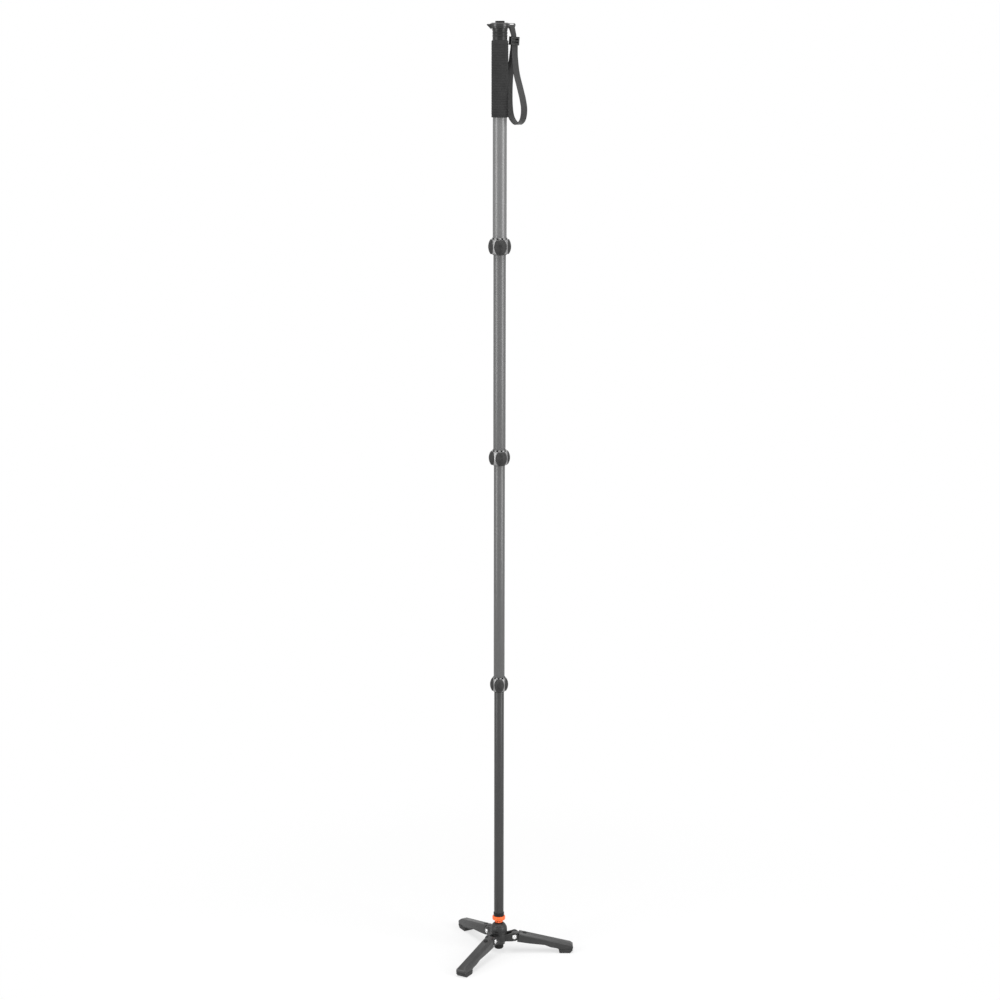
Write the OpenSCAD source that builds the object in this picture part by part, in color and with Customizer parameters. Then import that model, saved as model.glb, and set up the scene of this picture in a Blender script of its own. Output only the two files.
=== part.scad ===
// Camera monopod: four telescoping tubes with twist locks on a ball base with three folding legs,
// a ribbed grip, a camera platform and a wrist strap. Pole axis on z, legs down, and the sole of the
// centre foot at z = 0, a little above the floor that the toes stand on.

/* [Pole tubes] */
// Outer diameter of the top tube
tube_1_od = 29; // [28:0.1:34]
// Wall of the top tube
tube_1_wall = 1.1; // [0.9:0.05:1.4]
// Wall of the second tube
tube_2_wall = 0.9; // [0.7:0.05:1.2]
// Wall of the third tube
tube_3_wall = 0.9; // [0.7:0.05:1.2]
// Wall of the bottom tube
tube_4_wall = 1; // [0.8:0.05:1.4]
// Radial gap between one tube and the next
slide_gap = 0.35; // [0.3:0.05:0.6]
// Length of a tube that stays inside the next one when pulled out
tube_overlap = 80; // [60:1:120]
// Bare length of the top tube, from its lock to the grip
show_1 = 247; // [150:1:320]
// Bare length of the second tube
show_2 = 414; // [250:1:500]
// Bare length of the third tube
show_3 = 468; // [250:1:560]
// Bare length of the bottom tube
show_4 = 510; // [300:1:600]
// Height of a guide shim at the head of an inner tube
shim_h = 30; // [15:1:45]

/* [Twist locks] */
// Radius of the top lock over its rubber pads
lock_1_r = 24; // [22.5:0.1:27]
// Radius of the middle lock over its rubber pads
lock_2_r = 23; // [21:0.1:26]
// Radius of the bottom lock over its rubber pads
lock_3_r = 19.7; // [19:0.1:24]
// Height of the top lock
lock_1_h = 33.5; // [29:0.5:42]
// Height of the middle lock
lock_2_h = 32; // [29:0.5:42]
// Height of the bottom lock
lock_3_h = 31; // [28:0.5:42]
// Number of rubber pads round a lock
pad_count = 4; // [4:1:6]
// Share of a collar's circumference under its rubber pads
pad_share = 0.92; // [0.6:0.01:0.96]
// Rise of a rubber pad above the metal collar
pad_rise = 3.6; // [2:0.1:4]
// Wall of the threaded sleeve bonded to a tube
sleeve_wall = 1.2; // [1:0.1:1.4]
// Number of spanner notches in a sleeve's rim
notch_count = 10; // [6:1:12]
// Height of the notched rim
rim_h = 2.6; // [2:0.1:5]

/* [Grip and platform] */
// Outer radius of the ribbed grip
grip_r = 17.4; // [16.6:0.1:18.5]
// Length of the grip
grip_len = 156; // [100:1:200]
// Spacing of the ribs on the grip
rib_pitch = 5.2; // [4:0.1:9]
// Depth of the grooves between ribs
rib_depth = 0.45; // [0.2:0.05:0.8]
// Radius of the neck between grip and platform
neck_r = 15.7; // [14.6:0.1:16]
// Height of the neck
neck_h = 23; // [14:0.5:30]
// Radius of the platform disc
plate_r = 20.3; // [20:0.1:24]
// Thickness of the platform disc
plate_h = 8.5; // [7:0.5:12]
// Reach of the pointed lug from the pole axis
lug_reach = 26.7; // [25:0.1:32]
// Radius of the rubber pad on the platform
rest_r = 9.5; // [8:0.1:12]
// Height of the rubber pad on the platform
rest_h = 3.6; // [2:0.1:5]
// Outer radius of the thread bush, 3/8 inch thread
bush_r = 4.76; // [4.5:0.01:5.5]
// Bore radius of the thread bush, 1/4 inch thread
bush_bore_r = 3.2; // [3:0.01:3.6]

/* [Wrist strap] */
// Heading of the strap lug round the pole
strap_heading = 33; // [20:1:45]
// Room between the strap and the platform or grip beside it
bar_room = 0.4; // [0.3:0.1:3]
// Radius of the bar that the strap hangs from
bar_r = 1.6; // [1.2:0.1:2]
// Width of the strap webbing
web_w = 15; // [10:0.5:15]
// Thickness of the strap webbing
web_t = 2; // [1.2:0.1:2.4]
// Width of the tether between lug and buckle
tether_w = 12; // [8:0.5:12.5]
// Height of the buckle
buckle_h = 17; // [14:0.5:22]

/* [Ball base] */
// Height of the ball's centre above the centre foot's sole
ball_z = 44.5; // [42:0.5:48]
// Radius of the ball
ball_r = 12; // [10:0.1:12.5]
// Radius of the ball's neck
stem_r = 5; // [4:0.1:5.2]
// Outer radius of the domed cover
dome_r = 18.4; // [18:0.1:20]
// Radius of the cover's mouth
mouth_r = 9.3; // [9.2:0.1:10]
// Height of the seam between hub and cover
seam_z = 36; // [34:0.5:37.5]
// Radius of the locking plug
plug_r = 8.9; // [8:0.1:9]
// Height of the locking plug
plug_h = 5.2; // [4.8:0.1:8]
// Radius of the tilt locking ring
ring_r = 14.2; // [12:0.1:17]
// Height of the tilt locking ring
ring_h = 8.8; // [6:0.1:12]
// Number of windows round the locking plug
window_count = 10; // [6:1:12]
// Wall of the ferrule at the foot of the bottom tube
ferrule_wall = 1.2; // [0.8:0.1:2]
// Height of the ferrule
ferrule_h = 8; // [6:0.5:14]
// Radius of the hub below the seam
hub_r = 18; // [17.5:0.1:19]
// Height of the hub's underside
hub_z = 16.5; // [14:0.5:18]
// Radius of the boss under the hub
boss_r = 13.7; // [12:0.1:15]
// Radius of the rubber centre foot
foot_r = 10.3; // [9:0.1:13]
// Height of the rubber centre foot
foot_h = 11; // [9:0.5:14]
// Height of the centre foot's sole above the floor
foot_lift = 8.5; // [0:0.5:12]

/* [Folding legs] */
// Heading of the first leg
leg_heading = 0; // [-60:0.1:60]
// Distance of a leg's pivot from the pole axis
pin_x = 34.6; // [33:0.1:40]
// Height of a leg's pivot above the centre foot's sole
pin_z = 29.5; // [27:0.5:32]
// Radius of a pivot bolt
pin_r = 3; // [2:0.1:4]
// Radius of a pivot bolt's head
head_r = 4.8; // [4:0.1:6]
// Radius of the ears round a pivot
ear_r = 9.3; // [8:0.1:10]
// Thickness of an ear
ear_t = 4.2; // [3:0.1:5]
// Width of a leg
leg_w = 23; // [19:0.5:26]
// Reach of a leg's tip from the pole axis
leg_reach = 164; // [130:1:220]
// Height of a leg's top edge beside its pivot
root_top = 39; // [37.5:0.5:41]
// Height of the outer end of a leg's top edge
tip_top = 13.5; // [9:0.5:18]
// Height of the leg's underside beside its pivot
root_bottom = 18; // [16:0.5:21]
// Height of a rubber toe
toe_h = 9; // [6:0.5:11]
// Length of a rubber toe
toe_len = 31; // [24:0.5:45]
// Chamfer along the top edges of a leg
leg_bevel = 4.5; // [2:0.1:6]
// Radius of a leg's release button
button_r = 4.2; // [3:0.1:5]
// Distance of the button from the inner end of the leg's top edge
button_along = 12; // [9:0.5:30]

/* [Hidden] */
$fn = 64;

// Clearances: bonded or threaded faces, running fits, faces that turn past each other
bond_gap = 0.05;
run_gap = 0.08;
free_gap = 0.3;
over = 1; // how far a cutting tool runs past the face it cuts

// Colours of the materials
tube_grey = "#8c8c8e";
metal_grey = "#b4b6b8";
dark_metal = "#3e3e40";
leg_grey = "#535355";
rubber_black = "#2c2c2e";
grip_grey = "#3c3c3e";
webbing_grey = "#4a4a4c";
bright_steel = "#e2e2e2";
accent_orange = "#fa692d";

// Tube diameters, from the top tube inwards
tube_wall = [tube_1_wall, tube_2_wall, tube_3_wall, tube_4_wall];
tube_2_od = tube_1_od - 2 * (tube_1_wall + slide_gap);
tube_3_od = tube_2_od - 2 * (tube_2_wall + slide_gap);
tube_4_od = tube_3_od - 2 * (tube_3_wall + slide_gap);
tube_od = [tube_1_od, tube_2_od, tube_3_od, tube_4_od];
function tube_r(i) = tube_od[i] / 2;
function bore_r(i) = tube_r(i) - tube_wall[i];

// Heights from the ball up to the camera: every stage stands on the one below it
plug_wall = 2;
dome_clear = 0.4; // gap that lets the plug swing over the domed cover
plug_z = ball_z + sqrt(pow(dome_r + dome_clear, 2) - pow(plug_r - plug_wall, 2));
ring_z = plug_z + plug_h + run_gap;
ferrule_z = ring_z + ring_h + free_gap;
ferrule_lip = 2;
ferrule_top = ferrule_z + ferrule_h;
lock_h = [lock_1_h, lock_2_h, lock_3_h];
lock_3_z = ferrule_top + show_4;
lock_2_z = lock_3_z + lock_3_h + show_3;
lock_1_z = lock_2_z + lock_2_h + show_2;
lock_z = [lock_1_z, lock_2_z, lock_3_z];
grip_z = lock_1_z + lock_1_h + show_1;
grip_top = grip_z + grip_len;
neck_top = grip_top + neck_h;
flange_h = 3; // ring under the platform disc
disc_z = neck_top + flange_h;
plate_top = disc_z + plate_h;
rest_top = plate_top + rest_h;

// Ends of the tubes
tube_seat = 14; // height of a tube's foot above the bottom of its lock
tube_foot = [lock_1_z + tube_seat, lock_2_z + tube_seat, lock_3_z + tube_seat, ferrule_z + ferrule_lip];
tube_head = [grip_top, lock_1_z + tube_overlap, lock_2_z + tube_overlap, lock_3_z + tube_overlap];
shim_t = slide_gap - bond_gap - run_gap;
shim_drop = 2;
shim_split = 4;

// Twist lock: sleeve on the outer tube, split collet on the inner tube, collar screwed over both
lock_r = [lock_1_r, lock_2_r, lock_3_r];
lock_turn = [-84, -75, -89]; // heading of the first pad of each lock
lip_h = 4; // floor of the collar, which lifts the collet
sleeve_foot = 6;
cone_wide = 1.95; // radial room for the collet at the mouth of the sleeve
cone_narrow = 1.3;
rim_lip = 0.8;
rim_bevel = 0.6;
notch_w = 4.2;
notch_depth = 1.5;
notch_turn = [14, 3, -6]; // heading of a notch of each lock, from its first pad's
collet_gap = 0.1;
collet_flange = 2.3;
collet_flange_h = 1.5;
collet_split = 2;
seal_wall = 1.2;
seal_drop = 1.5;
seal_lip = 0.7;
seal_bevel = 0.5;
collet_play = 0.7; // lift of the collet into its cone
collet_head = tube_seat - free_gap - collet_play;
collar_fall = 2.6; // narrowing of the barrel-shaped collar towards its ends
collar_rim = 0.6; // least width of the collar's top rim
collar_steps = 6;
pad_border = 0.3; // bare metal above and below a pad
pad_edge = 1.8; // thickness of a pad at its ends
pad_steps = 7;
pad_span = 360 * pad_share / pad_count;
function sleeve_r(i) = tube_r(i) + sleeve_wall;
function rim_r(i) = sleeve_r(i) + rim_lip;
function collar_r(i) = lock_r[i] - pad_rise;
function collar_h(i) = lock_h[i] - rim_h - free_gap;
function collar_sag(i) = min(collar_fall, collar_r(i) - sleeve_r(i) - free_gap - collar_rim);
function pad_half(i) = collar_h(i) / 2 - pad_border;
// Middle and radius of the round pad that meets the collar at half the span on either side
function pad_middle(i) = (pow(lock_r[i], 2) - pow(collar_r(i), 2))
  / (2 * (lock_r[i] - collar_r(i) * cos(pad_span / 2)));
function pad_bulge(i) = lock_r[i] - pad_middle(i);
// Radius of the arc that falls by the given sag at the given half length
function arc_r(half, sag) = (half * half + sag * sag) / (2 * sag);
// Side of a barrel: points [radius, height] up an arc that falls by the sag at both ends
function barrel_side(belly, half, sag, steps) =
  let (curve = arc_r(half, sag), edge = asin(half / curve))
    [
      for (n = [0:steps])
        let (a = edge * (2 * n / steps - 1))
          [belly - curve * (1 - cos(a)), curve * sin(a)]
    ];

// Grip and platform
rib_bevel = 0.6;
grip_bevel = 2.5;
grip_foot = 1; // bevel round the grip's lower end
plug_len = 20; // spigot of the neck inside the top tube
neck_rings = 3;
neck_ring_depth = 0.7;
neck_ring_h = 1.4;
neck_step = 0.6;
neck_bevel = 1;
spigot_r = 8;
spigot_h = 5;
flange_r = 19.4;
flange_groove = 0.9; // height of the groove between flange and disc
flange_in = 1.8; // depth of that groove
plate_bevel = 2;
plate_edge = 1; // small bevel under the disc
lug_w = 12;
lug_tip_h = 2;
lug_root = 2; // start of a lug outside the spigot's hole
lug_fall = 1; // fall of the pointed lug's top towards its tip
lug_drop = 2.6; // lowest point of the pointed lug, below the platform
lug_heel = neck_r + 1.5; // that point's distance from the pole axis
bush_sink = 0.6;
rest_bevel = 0.6;
bush_z = neck_top + spigot_h + free_gap;

// Strap: the bar lies along the strap heading, and the webbing hangs square to it
bar_half = tether_w / 2 + free_gap;
buckle_wall = 2; // at the sides of the buckle
buckle_face = 1.2; // front and back of the buckle
buckle_slack = 0.9; // sideways room for the webbing
buckle_w = web_w + 2 * (buckle_slack + buckle_wall);
bar_reach = max(plate_r + bar_half, grip_r + buckle_w / 2) + bar_room;
lug_arm = 2.5; // width of the lug's two uprights
lug_t = 2 * bar_r;
lug_corner = 2;
lug_beam = 1; // height of the lug above its window
bar_lift = 1.5; // height of the bar's middle above the disc's underside
bar_short = 0.6;
bar_z = disc_z + bar_lift;
window_h = 4.4;
tether_t = 1.2;
tether_bend = 17.5; // from the bar to the tether's bend above the buckle
tether_drop = 26; // from the bar to the tether's lower end
strand_gap = 1.6; // between the two strands in the buckle
buckle_room = web_t + free_gap + strand_gap / 2; // half of the buckle's inner depth
buckle_t = 2 * (buckle_room + buckle_face);
buckle_lean = 4; // tilt of the buckle in its own plane
buckle_place = [10, -29.5];
tether_lean = buckle_place[0] - buckle_room + free_gap + tether_t; // sideways shift of its lower end
strand_shift = buckle_room - free_gap - web_t / 2;
strand_out = buckle_place[0] + strand_shift;
strand_in = buckle_place[0] - strand_shift;
slot_h = 3.6;
slot_web = 2.4;
// Route of the loop from the buckle round and back, sideways and up from the bar's middle
loop_route = [
  [strand_out, -33], [strand_out, -42], [12.5, -62], [19.2, -94], [32.2, -123], [43.2, -148],
  [47.7, -168], [42.2, -188], [25.2, -197.5], [7.2, -190], [-2.9, -176], [-6.9, -150], [-5.9, -110],
  [0.2, -75], [strand_in, -42], [strand_in, -33]
];
loop_steps = 5;

// Ball base
ball_gap = 0.3;
hub_bevel = 2;
cup_floor = 3;
trunnion_r = 2.5; // short pin on each side of the ball, along the tilt axis
ear_foot = 6; // from the pivot back to the foot of an ear
ear_z = hub_z + hub_bevel + 0.7; // underside of an ear, just over the hub's lower edge
ear_drop = 1.5; // where an ear's top runs into the hub, below the seam
foot_bevel = 2;
foot_neck = 1; // waist under the top of the rubber foot
foot_neck_h = 3;
cup_r = ball_r + 2.4; // bore that holds the ball's seat
ear_in = cup_r - ear_t; // inner end of an ear, within the hub's wall
seat_r = cup_r - free_gap;
seat_h = 10;
seat_z = ball_z - seat_h - 0.5;
trunnion_reach = seat_r - 0.5;
spring_t = 2.6;
spring_in = 8;
cup_z = seat_z - free_gap - spring_t;
spigot_wall = 1.6; // threaded rim of the hub, inside the cover
spigot_top = seam_z + 5;
thread_gap = 0.12;
stud_r = 4;
stud_deep = 8; // length of the stud in the rubber foot
window_w = 2.2;
window_rise = 1.5;
window_tall = 2.2;
ring_bevel = 1.6;
stem_step = 0.5;
stem_thread_r = stem_r - stem_step;
stem_short = 4; // end of the stem's thread below the plug's top
end_plug_h = 30;
ferrule_r = tube_r(3) + ferrule_wall;
ferrule_bevel = 0.7;

// Legs
leg_turns = [leg_heading, leg_heading + 120, leg_heading + 240];
side_gap = 0.6; // room for a friction washer on each side of the knuckle
washer_t = 0.4;
washer_r = 6.5;
knuckle_w = leg_w - 2 * (ear_t + side_gap);
ear_gap = 0.6;
knuckle_r = ear_r - ear_gap;
shoulder_r = ear_r + ear_gap; // hollow end of the leg, round the ears
knuckle_sink = 5; // how far the knuckle runs into the leg
knuckle_rise = 1;
knuckle_drop = 3;
shoulder_rim = 1;
head_h = 1.6;
nut_sink = 0.4; // end of the bolt below the nut's face
nut_thread_r = 2;
root_x = pin_x + shoulder_r + shoulder_rim;
knee_back = 62; // distance of the underside's bend from the tip
knee_z = 10.5;
arch_back = 49;
arch_z = 5.3;
belly_x = 34; // from the pivot to the bend under the leg
belly_drop = 4;
belly_start = 6;
tip_cut = 6; // length of the slope at the outer end of the top edge
tip_drop = 5;
tip_lean = 1; // bulge of the leg's end past that slope
nose_h = 3; // height of that bulge above the toe
heel_len = 4;
heel_rise = 2.4;
toe_slope = 6;
toe_bevel = 2;
toe_lean = 1;
toe_back = 0.5;
toe_nose = 2;
toe_wide = 1; // how much wider a toe is than its leg
toe_top = toe_h - foot_lift;
button_rise = 1.4;
button_len = 8;
pocket_deep = 12;
button_dome = 0.6;
coil_inset = 1; // button spring inside the button's edge
coil_wall = 1;
leg_fall = atan((root_top - tip_top) / (leg_reach - tip_cut - root_x));

// Round tube, given by its radii, foot and height
module ring(r_out, r_in, z, h) {
  translate([0, 0, z])
    difference() {
      cylinder(r = r_out, h = h);
      translate([0, 0, -over])
        cylinder(r = r_in, h = h + 2 * over);
    }
}

// Places its child on one of the three leg headings
module on_leg(k) {
  rotate([0, 0, leg_turns[k]])
    children();
}

// Rod along y through a leg's pivot, between two sideways places
module pivot_rod(r, y_from, y_to) {
  translate([pin_x, y_to, pin_z])
    rotate([90, 0, 0])
      cylinder(r = r, h = y_to - y_from);
}

// Stands a drawing of x and z upright and gives it a width along y
module upright(w) {
  rotate([90, 0, 0])
    linear_extrude(height = w, center = true)
      children();
}

// Hub under the cover, with a pair of ears for each leg
module hub_body() {
  color(dark_metal)
    difference() {
      union() {
        rotate_extrude()
          polygon([
            [0, foot_h], [boss_r, foot_h], [boss_r, hub_z - hub_bevel], [boss_r + hub_bevel, hub_z],
            [hub_r - hub_bevel, hub_z], [hub_r, hub_z + hub_bevel], [hub_r, seam_z - bond_gap],
            [cup_r + spigot_wall, seam_z - bond_gap], [cup_r + spigot_wall, spigot_top], [0, spigot_top]
          ]);
        difference() {
          for (k = [0:2])
            on_leg(k)
              ears();
          translate([0, 0, seam_z - bond_gap])
            cylinder(r = dome_r + free_gap, h = 2 * ear_r);
          cylinder(r = cup_r + bond_gap, h = seam_z);
        }
      }
      translate([0, 0, cup_z])
        cylinder(r = cup_r, h = spigot_top);
      cylinder(r = stud_r + bond_gap, h = cup_z - cup_floor);
      for (k = [0:2])
        on_leg(k)
          pivot_rod(pin_r + bond_gap, -leg_w, leg_w);
    }
}

module ears() {
  for (side = [-1, 1])
    translate([0, side * (leg_w - ear_t) / 2, 0])
      upright(ear_t)
        union() {
          translate([pin_x, pin_z])
            circle(r = ear_r);
          polygon([
            [ear_in, ear_z], [pin_x - ear_foot, ear_z], [pin_x, pin_z - ear_r],
            [pin_x, pin_z + ear_r], [dome_r, seam_z - ear_drop], [ear_in, seam_z - ear_drop]
          ]);
        }
}

// Domed cover that holds the ball down
module hub_dome() {
  color(dark_metal)
    difference() {
      union() {
        translate([0, 0, seam_z])
          cylinder(r = dome_r, h = ball_z - seam_z);
        intersection() {
          translate([0, 0, ball_z])
            sphere(r = dome_r);
          translate([0, 0, ball_z - bond_gap])
            cylinder(r = 2 * dome_r, h = 2 * dome_r);
        }
      }
      translate([0, 0, ball_z])
        sphere(r = ball_r + ball_gap);
      translate([0, 0, seam_z - over])
        cylinder(r = cup_r, h = ball_z + trunnion_r + free_gap - seam_z + over);
      translate([0, 0, seam_z - over])
        cylinder(r = cup_r + spigot_wall + thread_gap, h = spigot_top - seam_z + over + free_gap);
      translate([0, 0, ball_z])
        cylinder(r = mouth_r, h = 2 * dome_r);
    }
}

// Rod along the ball's tilt axis
module tilt_rod(r, half) {
  translate([0, 0, ball_z])
    rotate([90, 0, 0])
      cylinder(r = r, h = 2 * half, center = true);
}

// Cup that the ball rests in, free to turn in the hub, with a notch for each trunnion
module ball_seat() {
  color(rubber_black)
    difference() {
      translate([0, 0, seat_z])
        cylinder(r = seat_r, h = seat_h);
      translate([0, 0, ball_z])
        sphere(r = ball_r + ball_gap);
      tilt_rod(trunnion_r + run_gap, 2 * seat_r);
    }
}

// Spring washer that presses the seat against the ball
module seat_spring() {
  color(bright_steel)
    ring(seat_r, spring_in, cup_z, spring_t);
}

// Rubber foot in the middle, on a steel stud
module centre_foot() {
  color(rubber_black)
    difference() {
      rotate_extrude()
        polygon([
          [0, 0], [foot_r - foot_bevel, 0], [foot_r, foot_bevel],
          [foot_r, foot_h - foot_neck_h - foot_neck], [foot_r - foot_neck, foot_h - foot_neck_h],
          [foot_r - foot_neck, foot_h], [0, foot_h]
        ]);
      translate([0, 0, foot_h - stud_deep])
        cylinder(r = stud_r + bond_gap, h = stud_deep + over);
    }
}

module foot_stud() {
  color(bright_steel)
    translate([0, 0, foot_h - stud_deep + bond_gap])
      cylinder(r = stud_r, h = cup_z - cup_floor - foot_h + stud_deep - 2 * bond_gap);
}

// Pivot of each leg: headed bolt, round nut and two friction washers
module pivot_bolts() {
  color(bright_steel)
    for (k = [0:2])
      on_leg(k) {
        pivot_rod(head_r, -leg_w / 2 - head_h, -leg_w / 2);
        pivot_rod(pin_r, -leg_w / 2 - head_h / 2, leg_w / 2);
        pivot_rod(nut_thread_r, 0, leg_w / 2 + head_h - nut_sink);
      }
}

module pivot_nuts() {
  color(bright_steel)
    for (k = [0:2])
      on_leg(k)
        difference() {
          pivot_rod(head_r, leg_w / 2, leg_w / 2 + head_h);
          pivot_rod(nut_thread_r + bond_gap, 0, leg_w);
        }
}

module pivot_washers() {
  washer_y = (leg_w - side_gap) / 2 - ear_t;
  color(bright_steel)
    for (k = [0:2], side = [-1, 1])
      on_leg(k)
        difference() {
          pivot_rod(washer_r, side * washer_y - washer_t / 2, side * washer_y + washer_t / 2);
          pivot_rod(pin_r + run_gap, -leg_w, leg_w);
        }
}

// Folding leg: a knuckle between the ears and a tapering beam
module leg_beam(k) {
  color(leg_grey)
    on_leg(k)
      difference() {
        union() {
          upright(knuckle_w)
            union() {
              translate([pin_x, pin_z])
                circle(r = knuckle_r);
              polygon([
                [pin_x, pin_z - knuckle_r], [root_x + knuckle_sink, pin_z - knuckle_r + knuckle_rise],
                [root_x + knuckle_sink, pin_z + knuckle_r - knuckle_drop], [pin_x, pin_z + knuckle_r]
              ]);
            }
          difference() {
            upright(leg_w)
              beam_outline();
            pivot_rod(shoulder_r, -leg_w, leg_w);
            beam_bevels();
          }
        }
        pivot_rod(pin_r + run_gap, -leg_w, leg_w);
        on_button()
          translate([0, 0, -pocket_deep])
            cylinder(r = button_r + run_gap, h = pocket_deep + over);
      }
}

module beam_outline() {
  polygon([
    [root_x, root_top], [leg_reach - tip_cut, tip_top], [leg_reach, tip_top - tip_drop],
    [leg_reach + tip_lean, toe_top + nose_h], [leg_reach - toe_back, toe_top],
    [leg_reach - toe_len, toe_top], [leg_reach - toe_len - heel_len, toe_top + heel_rise],
    [leg_reach - arch_back, arch_z],
    [leg_reach - knee_back, knee_z], [pin_x + belly_x, root_bottom - belly_drop],
    [pin_x + belly_start, root_bottom]
  ]);
}

// Wedges that take off the two top edges of a leg
module beam_bevels() {
  for (side = [-1, 1])
    translate([root_x, side * leg_w / 2, root_top])
      rotate([0, leg_fall, 0])
        translate([-2 * root_x, 0, 0])
          rotate([45, 0, 0])
            translate([0, -leg_bevel / sqrt(2), -leg_bevel / sqrt(2)])
              cube([4 * leg_reach, sqrt(2) * leg_bevel, sqrt(2) * leg_bevel]);
}

// Rubber toe under a leg's tip
module toe_pad(k) {
  color(rubber_black)
    on_leg(k)
      translate([leg_reach, 0, -foot_lift])
        upright(leg_w + toe_wide)
          polygon([
            [-toe_len, toe_h - bond_gap], [toe_lean - toe_len, toe_bevel],
            [toe_lean + toe_bevel - toe_len, 0], [-toe_slope, 0],
            [0, toe_h - toe_nose], [-toe_back, toe_h - bond_gap]
          ]);
}

// Puts its child on the button's axis, on a leg's top edge
module on_button() {
  translate([root_x, 0, root_top])
    rotate([0, leg_fall, 0])
      translate([button_along, 0, 0])
        children();
}

// Spring-loaded release button of a leg
module leg_button(k) {
  color(dark_metal)
    on_leg(k)
      on_button()
        rotate_extrude()
          polygon([
            [0, button_rise - button_len], [button_r, button_rise - button_len],
            [button_r, button_rise - button_dome], [button_r - button_dome, button_rise], [0, button_rise]
          ]);
}

module button_spring(k) {
  color(bright_steel)
    on_leg(k)
      on_button()
        ring(
          button_r - coil_inset, button_r - coil_inset - coil_wall, bond_gap - pocket_deep,
          pocket_deep + button_rise - button_len - 2 * bond_gap
        );
}

// Ball with its trunnions and its neck, threaded into the foot of the bottom tube
module ball_stem() {
  color(metal_grey)
    union() {
      translate([0, 0, ball_z])
        sphere(r = ball_r);
      tilt_rod(trunnion_r, trunnion_reach);
      translate([0, 0, ball_z])
        cylinder(r = stem_r, h = ferrule_z + ferrule_lip - ball_z);
      translate([0, 0, ball_z])
        cylinder(r = stem_thread_r, h = ferrule_z + ferrule_lip + end_plug_h - ball_z - stem_short);
    }
}

// Windowed plug that drops into the cover's mouth to hold the pole upright
module tilt_plug() {
  color(accent_orange)
    difference() {
      ring(plug_r, stem_r + free_gap, plug_z, plug_h);
      ring(plug_r - plug_wall, stem_r, plug_z - over, window_rise + over + window_tall);
      for (k = [0:window_count - 1])
        rotate([0, 0, 360 * k / window_count])
          translate([0, -window_w / 2, plug_z + window_rise])
            cube([2 * plug_r, window_w, window_tall]);
    }
}

// Turning ring that drives the plug down
module tilt_lock_ring() {
  color(accent_orange)
    rotate_extrude()
      polygon([
        [stem_r + free_gap, ring_z], [ring_r - ring_bevel, ring_z], [ring_r, ring_z + ring_bevel],
        [ring_r, ring_z + ring_h - ring_bevel], [ring_r - ring_bevel, ring_z + ring_h],
        [stem_r + free_gap, ring_z + ring_h]
      ]);
}

// Foot of the bottom tube: outer ferrule and inner threaded plug
module end_ferrule() {
  color(dark_metal)
    rotate_extrude()
      polygon([
        [stem_r + bond_gap, ferrule_z], [ferrule_r - ferrule_bevel, ferrule_z],
        [ferrule_r, ferrule_z + ferrule_bevel], [ferrule_r, ferrule_top - ferrule_bevel],
        [ferrule_r - ferrule_bevel, ferrule_top], [tube_r(3) + bond_gap, ferrule_top],
        [tube_r(3) + bond_gap, ferrule_z + ferrule_lip - bond_gap],
        [stem_r + bond_gap, ferrule_z + ferrule_lip - bond_gap]
      ]);
}

module end_plug() {
  color(metal_grey)
    ring(bore_r(3) - bond_gap, stem_thread_r + bond_gap, ferrule_z + ferrule_lip, end_plug_h);
}

// Pole tubes, numbered from the top
module pole_tube(i) {
  color(tube_grey)
    ring(tube_r(i), bore_r(i), tube_foot[i], tube_head[i] - tube_foot[i]);
}

// Two half shells that centre an inner tube's head in the next tube
module guide_shims(i) {
  color(rubber_black)
    difference() {
      ring(tube_r(i) + bond_gap + shim_t, tube_r(i) + bond_gap, tube_head[i] - shim_drop - shim_h, shim_h);
      translate([-tube_od[i], -shim_split / 2, tube_head[i] - shim_drop - shim_h - over])
        cube([2 * tube_od[i], shim_split, shim_h + 2 * over]);
    }
}

// Threaded sleeve on the foot of an outer tube, with a notched rim
module lock_sleeve(i) {
  inner = tube_r(i + 1);
  color(metal_grey)
    translate([0, 0, lock_z[i]])
      difference() {
        rotate_extrude()
          polygon([
            [inner + cone_wide, sleeve_foot], [sleeve_r(i), sleeve_foot], [sleeve_r(i), lock_h[i] - rim_h],
            [rim_r(i), lock_h[i] - rim_h], [rim_r(i), lock_h[i] - rim_bevel],
            [rim_r(i) - rim_bevel, lock_h[i]], [tube_r(i) + bond_gap, lock_h[i]],
            [tube_r(i) + bond_gap, tube_seat - bond_gap], [inner + cone_narrow, tube_seat - bond_gap]
          ]);
        for (k = [0:notch_count - 1])
          rotate([0, 0, lock_turn[i] + notch_turn[i] + 360 * k / notch_count])
            translate([rim_r(i) - notch_depth, -notch_w / 2, lock_h[i] - rim_h - over])
              cube([rim_r(i), notch_w, rim_h + 2 * over]);
      }
}

// Split collet that the sleeve's cone squeezes onto the inner tube
module collet(i) {
  inner = tube_r(i + 1);
  flange_top = lip_h + bond_gap + collet_flange_h;
  color(rubber_black)
    translate([0, 0, lock_z[i]])
      difference() {
        rotate_extrude()
          polygon([
            [inner + collet_gap, lip_h + bond_gap], [inner + collet_flange, lip_h + bond_gap],
            [inner + collet_flange, flange_top], [inner + cone_wide - free_gap, flange_top],
            [inner + cone_narrow - free_gap, collet_head], [inner + collet_gap, collet_head]
          ]);
        translate([0, -collet_split / 2, 0])
          cube([2 * inner, collet_split, lock_h[i]]);
      }
}

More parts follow.
